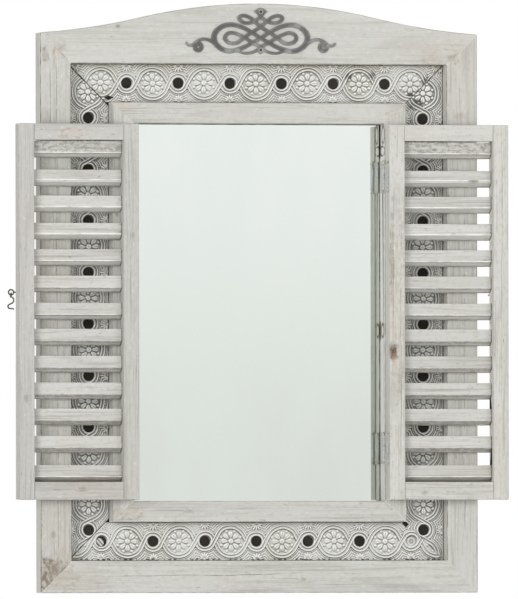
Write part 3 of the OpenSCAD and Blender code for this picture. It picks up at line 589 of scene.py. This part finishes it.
def rosette(x, y):
    """Eight petals with split tips round a boss, and a small pearl between the tips."""
    turn = 2 * math.pi / PETALS
    h = np.zeros_like(x)
    for k in range(PETALS):
        c, s = math.cos(k * turn), math.sin(k * turn)
        a, b = x * c + y * s, -x * s + y * c
        petal = dome(((a - 8.8) / 4.6) ** 2 + (b / (1.2 + 0.22 * np.clip(a, 0, 14))) ** 2)
        h = np.maximum(h, petal * (1 - 0.45 * bell(b, 0, 0.7) * (a > 6)))
        c, s = math.cos((k + 0.5) * turn), math.sin((k + 0.5) * turn)
        h = np.maximum(h, 0.7 * dome((np.hypot(x - 14.2 * c, y - 14.2 * s) / 1.9) ** 2))
    r = np.hypot(x, y)
    return np.maximum(h, 1.1 * dome((r / 3.7) ** 2) - 0.45 * bell(r, 0, 1.3))


def leaves(x, y, longest, shrink):
    """A fan of seven leaves round a boss. The outer ones are shorter."""
    r, turn = np.hypot(x, y), np.arctan2(x, y)
    h = dome((r / 2.3) ** 2)
    for k in range(-3, 4):
        reach = longest - shrink * k * k
        a, b = r * np.cos(turn - k * 0.42), r * np.sin(turn - k * 0.42)
        h = np.maximum(h, dome(((a - reach * 0.62) / (reach * 0.42)) ** 2 + (b / 1.25) ** 2))
    return h


def relief_tile(half):
    """Height, 0 to about 1, over one period of the pattern, on a fine grid: rows across, columns along."""
    u = np.arange(0, PERIOD, PATTERN_CELL)
    v = np.arange(-half - 1, half + 1 + PATTERN_CELL, PATTERN_CELL)
    uu, vv = np.meshgrid(u, v)
    points = np.stack([uu.ravel(), vv.ravel()], 1)
    rising, falling = (nearest(points, strand(side)).reshape(uu.shape) for side in (1, -1))
    away = np.minimum(rising, falling)
    clear = step(away, 2.9, 3.9)
    # the strand that rises to the right lies on top at each crossing
    over = uu < PERIOD / 2
    top, low = np.where(over, falling, rising), np.where(over, rising, falling)
    h = np.maximum(cord(top), cord(low) * step(top, 2.9, 3.9))
    h = np.maximum(h, 0.72 * rosette(uu - PERIOD / 2, vv) * clear)
    for hole in (0, PERIOD):
        # rim of each punched hole, and a fan of leaves above and below it
        h = np.maximum(h, 0.9 * bell(np.hypot(uu - hole, vv), 8.5, 0.75))
        for side, longest, shrink in ((-1, 9.0, 0.3), (1, 10.5, 0.35)):
            h = np.maximum(h, 0.75 * leaves(uu - hole, half - 0.8 - side * vv, longest, shrink) * clear)
    # broken lines that follow the plait fill the rest of the field, outside the loops
    outside = (np.abs(vv) > 9.5) & (np.hypot(uu - PERIOD / 2, vv) > 19)
    breaks = 0.65 + 0.35 * np.sin(uu * 1.37 + vv * 0.9) * np.sin(vv * 1.9 - uu * 0.6)
    echo = np.cos(2 * math.pi * (away - 4.3) / 2.9) * breaks
    h = np.maximum(h, 0.62 * np.clip(echo, 0, 1) * clear * outside)
    beads = 0.7 + 0.3 * np.cos(2 * math.pi * uu / (PERIOD / 20))
    return u, v, np.maximum(h, 0.30 * bell(np.abs(vv), half - 0.9, 0.6) * beads)


def blur(h, n):
    """Two box blurs of a tile, which repeats along its rows."""
    k = np.ones(2 * n + 1) / (2 * n + 1)
    wide = np.concatenate([h[:, -n * 2:], h, h[:, :n * 2]], 1)
    wide = np.pad(wide, ((2 * n, 2 * n), (0, 0)), "edge")
    for axis in (1, 0, 1, 0):
        wide = np.apply_along_axis(lambda line: np.convolve(line, k, "same"), axis, wide)
    return wide[2 * n:-2 * n, n * 2:-n * 2]


TILES = {}


def tile(half):
    """The pattern's height, and with a mean of 0 and a spread of 1 its relief against its surroundings and
    its two slopes."""
    if half not in TILES:
        u, v, h = relief_tile(half)
        relief = (h - blur(h, 5)) * 1.2 + (h - blur(h, 12)) * 0.6
        soft = blur(h, 1)
        fall_u = np.roll(soft, 3, 1) - np.roll(soft, -3, 1)
        fall_v = np.zeros_like(h)
        fall_v[3:-3] = soft[:-6] - soft[6:]
        TILES[half] = (u, v, h, *((f - f.mean()) / f.std() for f in (relief, fall_u, fall_v)))
    return TILES[half]


def sample(grid, u, v, gu, gv):
    """Bilinear value of a tile at u, which repeats, and v."""
    g = gu[1] - gu[0]
    x = (u % PERIOD) / g
    y = np.clip((v - gv[0]) / g, 0, len(gv) - 1.001)
    i, j = np.floor(x).astype(int), np.floor(y).astype(int)
    a, b = x - i, y - j
    i0, i1 = i % grid.shape[1], (i + 1) % grid.shape[1]
    return (grid[j, i0] * (1 - a) * (1 - b) + grid[j, i1] * a * (1 - b)
            + grid[j + 1, i0] * (1 - a) * b + grid[j + 1, i1] * a * b)


# ---------------------------------------------------------------- sheets of tin

def punched_holes(node, horizontal):
    """Places along the strip and radius, in millimetres, of the holes that the CAD strip has."""
    co = np.empty(len(nodes[node].data.vertices) * 3)
    nodes[node].data.vertices.foreach_get("co", co)
    co = co.reshape(-1, 3) * PER_M
    along, across = (co[:, 0], co[:, 2]) if horizontal else (co[:, 2], co[:, 0])
    inner = np.sort(along[(across > across.min() + 1) & (across < across.max() - 1)])
    groups = np.split(inner, np.nonzero(np.diff(inner) > 20)[0] + 1)
    return [(g[0] + g[-1]) / 2 for g in groups], (groups[0][-1] - groups[0][0]) / 2


def snapped(a, c, middle, holes, radius):
    """Moves the points next to each hole's edge onto it, and says which points lie inside a hole."""
    inside = np.zeros(a.shape, bool)
    for hole in holes:
        da, dc = a - hole, c - middle
        r = np.hypot(da, dc)
        near = (np.abs(r - radius) <= 0.62 * SHEET_CELL) & (r > 0)
        a = np.where(near, hole + da * radius / np.maximum(r, 1e-6), a)
        c = np.where(near, middle + dc * radius / np.maximum(r, 1e-6), c)
        inside |= r < radius - 0.62 * SHEET_CELL
    return a, c, inside


def struck(a, c, middle, first, pitch, flip):
    """Where each point lies on the pattern. The die wandered a little from stroke to stroke."""
    u = (a - first) * PERIOD / pitch + 0.5 * np.sin(0.043 * a + 0.11 * c) + 0.1 * np.sin(0.41 * c - 0.19 * a)
    v = (c - middle) * flip + 0.5 * np.sin(0.041 * a + 1.3) + 0.1 * np.sin(0.37 * a + 0.15 * c)
    return u, v


def dents(a, c, seed):
    """Slow waves of a thin sheet, each of a random direction and length."""
    rng = np.random.default_rng(seed)
    wave = np.zeros_like(a)
    for _ in range(14):
        k = rng.normal(0, 0.055, 2)
        wave += 0.05 * np.sin(k[0] * a + k[1] * c + rng.uniform(0, 6.3))
    return wave


def grid_quads(shape):
    """The four corners of each cell of a grid, as indices of its points."""
    i = np.arange(shape[0] * shape[1]).reshape(shape)
    return np.stack([i[:-1, :-1], i[:-1, 1:], i[1:, 1:], i[1:, :-1]], 2).reshape(-1, 4)


def sheet(name, points, quads, back, material, **fields):
    """A piece of tin on the points of a grid, with its borders folded back to the depth back. Each of fields
    is an attribute of the points."""
    used, faces = np.unique(quads, return_inverse=True)
    me = bpy.data.meshes.new(name)
    me.from_pydata((points.reshape(-1, 3)[used] * MM).tolist(), [], faces.reshape(-1, 4).tolist())
    for key, values in fields.items():
        values = np.broadcast_to(values, points.shape[:2]).ravel()[used]
        me.attributes.new(key, "FLOAT", "POINT").data.foreach_set("value", values.astype(np.float32))
    bm = bmesh.new()
    bm.from_mesh(me)
    bmesh.ops.dissolve_degenerate(bm, dist=1e-5, edges=bm.edges)
    bmesh.ops.triangulate(bm, faces=[f for f in bm.faces if len(f.verts) > 4])
    for v in bmesh.ops.extrude_edge_only(bm, edges=[e for e in bm.edges if e.is_boundary])["geom"]:
        if isinstance(v, bmesh.types.BMVert):
            v.co.y = back * MM
    bmesh.ops.recalc_face_normals(bm, faces=bm.faces)
    bm.to_mesh(me)
    bm.free()
    me.polygons.foreach_set("use_smooth", [True] * len(me.polygons))
    ob = bpy.data.objects.new(name, me)
    scene.collection.objects.link(ob)
    me.materials.append(material)
    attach(ob, "frame")
    return ob


def tin_strip(name, node, horizontal, outer, flip, material, cuts, hems=(0, 0), worn_side=0, notches=(),
              bosses=(), dashed=False, blots=()):
    """A pressed strip in its CAD node's place. outer is +1 where the frame's outer edge is at the larger
    across coordinate, and a flip of -1 turns the pattern over. cuts are the gaps at its two mitres, hems the
    height of a rolled edge there, worn_side the edge with less paint and a painted shadow, notches (along,
    across, reach along, reach across) torn places, bosses unpunched places, dashed is for dirt along the lower
    border, and blots (along, across, radius) are patches of dirt."""
    lo, hi = (Vector(corner) * PER_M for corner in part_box(node))
    a0, a1, c0, c1 = (lo.x, hi.x, lo.z, hi.z) if horizontal else (lo.z, hi.z, lo.x, hi.x)
    middle = (c0 + c1) / 2
    cells = lambda start, end: np.linspace(start, end, int(round((end - start) / SHEET_CELL)) + 1)
    grid_a, grid_c = np.meshgrid(cells(a0, a1), cells(c0, c1))
    # mitred ends: the strip is full length along its outer edge
    from_outer = c1 - grid_c if outer > 0 else grid_c - c0
    start, end = a0 + from_outer + cuts[0], a1 - from_outer - cuts[1]
    holes, radius = punched_holes(node, horizontal)
    a, c, missing = snapped(np.clip(grid_a, start, end), grid_c, middle, holes, radius)
    for na, nc, reach_a, reach_c in notches:
        missing |= np.abs(a - na) / reach_a + np.abs(c - nc) / reach_c < 1

    u, v = struck(a, c, middle, holes[0], float(np.median(np.diff(holes))), flip)
    gu, gv, *grids = tile(round((c1 - c0) / 2, 2))
    height, relief, fall_u, fall_v = (sample(grid, u, v, gu, gv) for grid in grids)
    for boss in bosses:
        r = np.hypot(a - boss, c - middle)
        height = np.where(r < 8, 0.9 * dome((r / 6.6) ** 2) - 0.3 * bell(r, 3.5, 0.9), height)
        relief = np.where(r < 8, 0.9 * np.cos(r * 1.45) - 0.3, relief)

    # the relief runs out towards the strip's edges, and the mitred ones can be rolled
    wave = dents(a, c, int(abs(a0) * 7 + abs(c0)))
    from_ends = np.stack([a - start, end - a])
    from_sides = np.minimum(grid_c - c0, c1 - grid_c)
    fade = np.clip(np.minimum(from_ends.min(0), from_sides) / 1.4, 0, 1)
    lift = 0.08 + (RELIEF * height + 0.16 + wave * 0.7) * (0.25 + 0.75 * fade)
    edge = np.zeros_like(height)
    for d, hem in zip(from_ends, hems):
        edge = np.maximum(edge, np.exp(-np.maximum(d, 0) / 0.9) * (0.15 if hem else 1))
        lift += hem * bell(d, 1.0, 1.1)
        relief = np.where(d < 2.6, relief + hem * 1.8 * bell(d, 1.0, 1.0), relief)

    # the uprights grow duller towards the bottom, and their relief, which drives the painted shade and
    # highlight, is half as strong again
    dull = 0 if horizontal else step(-a, 280, 600)
    if not horizontal:
        relief = relief * 1.5
    for ba, bc, r in blots:
        mottled = 0.4 + 0.6 * np.sin(2.1 * grid_a + 1.3 * grid_c) ** 2
        relief = relief - 3.2 * bell(np.hypot(grid_a - ba, grid_c - bc), 0, r) * mottled
    if dashed:
        beads = step(np.sin(grid_a * 0.83) + 0.8 * np.sin(grid_a * 0.211 + 1), 0.0, 0.8)
        relief = relief - 3.0 * bell(grid_c - c0, 1.5, 0.9) * beads
    # that edge has thinner paint and a painted shadow along it
    from_worn = c1 - c if worn_side > 0 else c - c0
    worn = np.exp(-np.maximum(from_worn - 2, 0) / 5.0) if worn_side else 0

    quads = grid_quads(a.shape)
    beyond = (grid_a < start).ravel()[quads].all(1) | (grid_a > end).ravel()[quads].all(1)
    quads = quads[~(missing.ravel()[quads].any(1) | beyond)]
    y = lo.y - lift
    if horizontal:
        points, slope = np.stack([a, y, c], 2), fall_v * flip
    else:
        points, slope, quads = np.stack([c, y, a], 2), fall_u, quads[:, ::-1]
    ob = sheet(name, points, quads, hi.y - 0.02, material,
               relief=relief, slope=slope, edge=edge, worn=worn, dull=dull)
    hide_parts(node)


def tin_tongue(name, hole, y, material):
    """The end of the upright strip, which shows through the first hole of the bottom strip."""
    count, width, length, lean, seen = 22, 9.0, 13.0, math.radians(42), 7.0
    a, b = np.meshgrid(np.linspace(-1, 1, count), np.linspace(-1, 1, count))
    ridge = bell(a, 0.45, 0.16) + bell(a, -0.42, 0.16)
    # its free end is cut to a curve, clear of the hole's right side
    reach = 1 - 0.55 * np.clip(a + 0.2, 0, 1) ** 2
    u, v = a * width / 2, b * length / 2 * reach
    c, s = math.cos(lean), math.sin(lean)
    x, z = hole[0] - 1.6 + u * c + v * s, hole[1] - 0.6 + u * s - v * c
    quads = grid_quads(a.shape)[:, (0, 3, 2, 1)]
    keep = (np.hypot(x - hole[0], z - hole[1]) < seen).ravel()[quads].all(1)
    sheet(name, np.stack([x, y - 0.05 - 0.5 * ridge, z], 2), quads[keep], y + 0.35, material,
          relief=ridge * 3.2 - 1.7, slope=0, edge=0, worn=0)


# ---------------------------------------------------------------- dressing the CAD nodes

def soften(ob, width, segments, clamp):
    """Takes the sharp edge off a CAD piece without changing its mesh."""
    weld = ob.modifiers.new("weld", "WELD")
    weld.merge_threshold = 0.01 * MM
    # flat faces become one again, so that only real edges are rounded
    flats = ob.modifiers.new("flats", "DECIMATE")
    flats.decimate_type = "DISSOLVE"
    flats.angle_limit = math.radians(1)
    edges = ob.modifiers.new("edges", "BEVEL")
    edges.width, edges.segments = width, segments
    edges.limit_method = "ANGLE"
    edges.angle_limit = math.radians(35)
    edges.use_clamp_overlap = clamp
    edges.miter_outer = "MITER_ARC"


def roughen(ob):
    """Gives the slats the slightly uneven faces and edges of hand-cut laths."""
    cells = ob.modifiers.new("cells", "SUBSURF")
    cells.subdivision_type = "SIMPLE"
    cells.levels = cells.render_levels = 4
    lumps = bpy.data.textures.new("lath_" + ob.name, "CLOUDS")
    lumps.noise_scale, lumps.noise_depth = 0.011, 2
    uneven = ob.modifiers.new("uneven", "DISPLACE")
    uneven.texture, uneven.texture_coords = lumps, "GLOBAL"
    uneven.strength, uneven.mid_level = 0.0007, 0.5


def dress(node, material, bevel=None, segments=2, clamp=False):
    """Gives a CAD node its material and, with a bevel, its softened edges."""
    ob = nodes[node]
    ob.data.materials.clear()
    ob.data.materials.append(material)
    if bevel:
        soften(ob, bevel, segments, clamp)


BROWN, PEACH, BEIGE, RUST = (134, 114, 94), (208, 190, 172), (192, 181, 162), (160, 118, 96)
DRIFTWOOD = (150, 137, 120)
# cracks along the mitres of the outer frame, which the boards on both sides show
TOP_LEFT, TOP_RIGHT = (-258.5, 19.5, -278, 39, 1.2), (258.5, 19.5, 280, 41, 0.7)
BOTTOM_LEFT = (-258.5, -647.5, -280, -669, 1.3)
# the boards, by the way their grain runs
OUTER_X = dict(axis="X", arris=((104, 96, 82), 0.75))
OUTER_Z = dict(OUTER_X, axis="Z")
INNER_X = dict(axis="X", arris=((128, 120, 106), 0.55))
INNER_Z = dict(INNER_X, axis="Z")
# the two shutters have one paint; the left's darker tone is painted shade and the right's paler tone painted
# light
LEFT_X = dict(axis="X", arris=((150, 143, 130), 0.35), paint=(202, 201, 196))
LEFT_Z = dict(LEFT_X, axis="Z")
RIGHT_X = dict(LEFT_X, paint=(214, 213, 207))
RIGHT_Z = dict(RIGHT_X, axis="Z")
SLATS_X = dict(axis="X", slats=True, paint=(217, 216, 211))
WOOD = {
    "outer_stile_left": dict(
        axis="Z", paint=(206, 205, 199), arris=((92, 84, 70), 0.95), knots=[(-283, -612, 5, 3, 0.5)],
        cracks=[(-278, 30, -276, -640, 0.5), (-286, 20, -287, -100, 0.5), BOTTOM_LEFT, TOP_LEFT],
        stains=[(-272, 34, 9, 8, PEACH, 0.7), (-292, 30, 5, 9, BROWN, 0.5), (-291, -668, 16, 22, BROWN, 0.95),
                (-279, -658, 13, 13, DRIFTWOOD, 0.8), (-266, -640, 9, 12, BEIGE, 0.8)]),
    "outer_stile_right": dict(
        OUTER_Z, cracks=[(283, -120, 281, -610, 0.4), TOP_RIGHT],
        stains=[(277.7, -50.9, 9, 5, RUST, 0.45), (272, 28.3, 5, 7, BEIGE, 0.7)]),
    "crest_rail": dict(
        OUTER_X, wear=0.65, knots=[(-193.9, 68.6, 3, 2.4, 0.65)],
        cracks=[(-7, 99, -4, 88, 1.0), TOP_LEFT, TOP_RIGHT],
        stains=[(238, 30, 13, 15, BEIGE, 0.55), (-272, 40, 8, 8, BROWN, 0.35),
                (270, 29, 9, 6, DRIFTWOOD, 0.7)]),
    "outer_bottom_rail": dict(
        OUTER_X, lit_above=-648.5, knots=[(60, -672, 4, 2.5, 0.4)],
        cracks=[(-200, -668, 60, -664, 0.4), BOTTOM_LEFT], stains=[(-270, -670, 22, 14, BEIGE, 0.5)]),
    "inner_stile_left": dict(INNER_Z, paint=(218, 218, 212), stains=[(-190, -588, 14, 12, BEIGE, 0.6)]),
    "inner_stile_right": dict(
        INNER_Z, knots=[(172, -336, 8, 5, 0.5)], stains=[(186, -40, 12, 8, PEACH, 0.6)],
        reveals=[(-20.5, -97, 10, 5), (-24, -75, 5.5, 9.5), (-20, -338, 5, 7)]),
    "inner_top_rail": dict(INNER_X, stains=[(-190, -40, 14, 9, PEACH, 0.6), (182, -52, 10, 8, PEACH, 0.5)]),
    "inner_bottom_rail": dict(
        INNER_X, knots=[(-96, -580, 4, 2, 0.4)], stains=[(-176, -582, 16, 10, BEIGE, 0.7)]),
    "left_hinge_stile": dict(
        LEFT_Z, knots=[(-180, -212, 4, 2.5, 0.4)], cracks=[(-186, -80, -184, -300, 0.35)]),
    "left_free_stile": dict(LEFT_Z, knots=[(-327, -430, 5, 3, 0.4)]),
    "left_top_rail": dict(LEFT_X, stains=[(-262.8, -75, 16, 7, PEACH, 0.6)]),
    "left_bottom_rail": dict(LEFT_X, knots=[(-250, -551, 5, 3, 0.4)]),
    "right_hinge_stile": dict(
        RIGHT_Z, knots=[(177, -368, 7, 3.6, 0.8)],
        cracks=[(188, -240, 187, -520, 0.35), (173.8, -176, 174.6, -310, 0.6), (177, -196, 177.5, -340, 0.5)],
        stains=[(184, -300, 8, 120, BEIGE, 0.35), (175.5, -235, 3, 50, (172, 160, 138), 0.6),
                (176.5, -318, 3, 44, (200, 184, 168), 0.7), (177.2, -365, 5.5, 10, (84, 60, 44), 1),
                (176.8, -372, 4, 6, (124, 80, 52), 0.8), (178, -392, 3, 18, (196, 180, 162), 0.7)]),
    "right_free_stile": dict(RIGHT_Z, cracks=[(328, -110, 326, -330, 0.35)]),
    "right_top_rail": RIGHT_X,
    "right_bottom_rail": dict(RIGHT_X, knots=[(220, -556, 4, 2.4, 0.4)]),
    "left_slats": dict(SLATS_X, knots=[(-300, -109, 6, 2.5, 0.5)]),
    "right_slats": dict(
        SLATS_X, knots=[(290, -138, 7, 2.2, 0.8), (236, -96, 3, 1.4, 0.8), (290, -395, 5, 2.5, 0.5)]),
}
for i, (node, spec) in enumerate(WOOD.items()):
    paint = wood_material("wood_" + node, seed=i + 1, face=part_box(node)[0][1],
                          bare_back=node.startswith(("outer", "inner", "crest")), **spec)
    if "slats" in spec:
        dress(node, paint, 0.0005)
        roughen(nodes[node])
    else:
        dress(node, paint, 0.0008)

tin = tin_material()
tin_strip("tin_relief_top", "tin_strip_top", True, 1, 1, tin, (0.5, 0.1), worn_side=1,
          notches=[(-202, -26.5, 6, 2.8)],
          blots=[(222, -30, 5), (213, -21, 3.5), (236, -2, 5), (128, 3, 4), (160, 5, 4)])
tin_strip("tin_relief_bottom", "tin_strip_bottom", True, -1, 1, tin, (-0.2, -0.2), hems=(0.9, 0.35),
          notches=[(206, -597, 5, 5)], bosses=[213], dashed=True)
tin_strip("tin_relief_left", "tin_strip_left", False, -1, 1, tin, (0.75, 0.45))
tin_strip("tin_relief_right", "tin_strip_right", False, 1, -1, tin, (0.1, 0.1), hems=(0.3, 0),
          blots=[(-31, 224, 5), (-36, 214, 4)])
tin_tongue("tin_tongue", (-213, -621), -9.3, tin)

zinc = zinc_material("zinc_hinge", (190, 195, 198), (212, 215, 217), 0.45, True)
painted = zinc_material("painted_screws", (176, 182, 186), (204, 208, 211), 0.9)
plain = zinc_material("plain_zinc", (156, 163, 168), (186, 192, 196), -0.6)
black = zinc_material("dark_screws", (62, 60, 58), (96, 94, 90), -0.6)
latch = latch_material()
dress("carrier_board", dark_board(), 0.0003)
dress("back_cover", cover_board(), 0.0004)
dress("mirror_glass", mirror_material())
dress("scroll_ornament", iron_material(), 0.0008, 3)
dress("ornament_screws", black)
for node in ("hook_eye", "catch_eye", "latch_hook"):
    dress(node, latch)
    nodes[node].data.polygons.foreach_set("use_smooth", [True] * len(nodes[node].data.polygons))
for node in ("frame_leaf_screws", "left_leaf_screws", "right_leaf_screws"):
    dress(node, painted)
for node in ("cover_screws", "inner_frame_screws", "hanger_screws"):
    dress(node, plain)
for side in ("left", "right"):
    dress("hanger_plate_" + side, plain, 0.0002, clamp=True)
    for which in ("upper", "lower"):
        dress(f"hinge_pin_{side}_{which}", zinc)
        for body in ("frame", "shutter"):
            dress(f"{body}_leaf_{side}_{which}", zinc, 0.00025, clamp=True)


# ---------------------------------------------------------------- stage, light and camera

WHITE = (1, 1, 1, 1)
FLOOR_SIZE, FLOOR_Z = 9.0, -0.80


def seen_directly(tree):
    """1 for camera, glossy and transmission rays, in a material's or the world's node tree."""
    path = tree.nodes.new("ShaderNodeLightPath")
    out = path.outputs["Is Camera Ray"]
    for key in ("Is Glossy Ray", "Is Transmission Ray"):
        n = tree.nodes.new("ShaderNodeMath")
        n.operation = "MAXIMUM"
        tree.links.new(out, n.inputs[0])
        tree.links.new(path.outputs[key], n.inputs[1])
        out = n.outputs[0]
    return out


def pick(tree, factor, a, b):
    n = tree.nodes.new("ShaderNodeMixShader")
    for s, v in zip(n.inputs, (factor, a, b)):
        tree.links.new(v, s)
    return n.outputs[0]


def floor_material():
    """Pale floor that keeps the object's shadow, shows as plain white to the camera and in the glass, and
    can't be seen from below."""
    t = Tree("floor")
    tree = t.t
    diffuse = tree.nodes.new("ShaderNodeBsdfDiffuse")
    diffuse.inputs[0].default_value = (0.8, 0.8, 0.8, 1)
    glow = tree.nodes.new("ShaderNodeEmission")
    glow.inputs[0].default_value = WHITE
    glow.inputs[1].default_value = 0.55
    add = tree.nodes.new("ShaderNodeAddShader")
    tree.links.new(diffuse.outputs[0], add.inputs[0])
    tree.links.new(glow.outputs[0], add.inputs[1])
    clear = tree.nodes.new("ShaderNodeBsdfTransparent")
    facing = tree.nodes.new("ShaderNodeNewGeometry")
    front = pick(tree, seen_directly(tree), diffuse.outputs[0], add.outputs[0])
    tree.links.new(pick(tree, facing.outputs["Backfacing"], front, clear.outputs[0]), t.out.inputs[0])
    return t.mat


def floor():
    me = bpy.data.meshes.new("floor")
    s = FLOOR_SIZE / 2
    me.from_pydata([(-s, -s, 0), (s, -s, 0), (s, s, 0), (-s, s, 0)], [], [(0, 1, 2, 3)])
    ob = bpy.data.objects.new("floor", me)
    ob.location.z = FLOOR_Z
    scene.collection.objects.link(ob)
    me.materials.append(floor_material())


def background(tree, strength):
    n = tree.nodes.new("ShaderNodeBackground")
    n.inputs[0].default_value = WHITE
    n.inputs[1].default_value = strength
    return n.outputs[0]


def studio():
    """A world that is plain white where the camera or the glass sees it, and lights the rest less."""
    world = bpy.data.worlds.new("studio")
    world.use_nodes = True
    tree = world.node_tree
    tree.nodes.clear()
    out = tree.nodes.new("ShaderNodeOutputWorld")
    shown = pick(tree, seen_directly(tree), background(tree, 0.52), background(tree, 1.0))
    tree.links.new(shown, out.inputs[0])
    scene.world = world


def lamp(name, at, size, power):
    """A square lamp that faces the middle of the mirror, and that neither the camera nor the glass shows."""
    data = bpy.data.lights.new(name, "AREA")
    data.shape = "RECTANGLE"
    data.size = data.size_y = size
    data.energy = power
    ob = bpy.data.objects.new(name, data)
    ob.location = at
    ob.rotation_euler = (Vector((0, 0, -0.3)) - Vector(at)).to_track_quat("-Z", "Y").to_euler()
    ob.visible_glossy = False
    ob.visible_camera = False
    scene.collection.objects.link(ob)


floor()
studio()
lamp("key", (-4.3, -4.8, -0.15), 2.6, 232)
lamp("fill", (2.0, -2.9, -0.60), 1.8, 42)
lamp("back", (0.6, 2.4, 1.2), 2.0, 40)

# the photograph was taken from the left and a little below, with a slight roll
AZIMUTH, ELEVATION, ROLL = (math.radians(v) for v in (-12.69, -1.0, 0.1))
DISTANCE, PX_PER_MM = 25.0, 0.746
PHOTO_HEIGHT, SENSOR = 599, 36
centre = Vector((-0.00124, -0.0335, -0.2969))
toward = Vector((math.sin(AZIMUTH) * math.cos(ELEVATION), -math.cos(AZIMUTH) * math.cos(ELEVATION),
                 math.sin(ELEVATION)))
camera = bpy.data.cameras.new("camera")
camera.sensor_width = SENSOR
camera.lens = SENSOR * DISTANCE / (PHOTO_HEIGHT / PX_PER_MM * MM)
camera.clip_start, camera.clip_end = 1.0, 100.0
viewer = bpy.data.objects.new("camera", camera)
viewer.location = centre + toward * DISTANCE
viewer.rotation_euler = ((-toward).to_track_quat("-Z", "Y") @ Quaternion((0, 0, 1), -ROLL)).to_euler()
scene.collection.objects.link(viewer)
scene.camera = viewer
scene.view_settings.view_transform = "Standard"
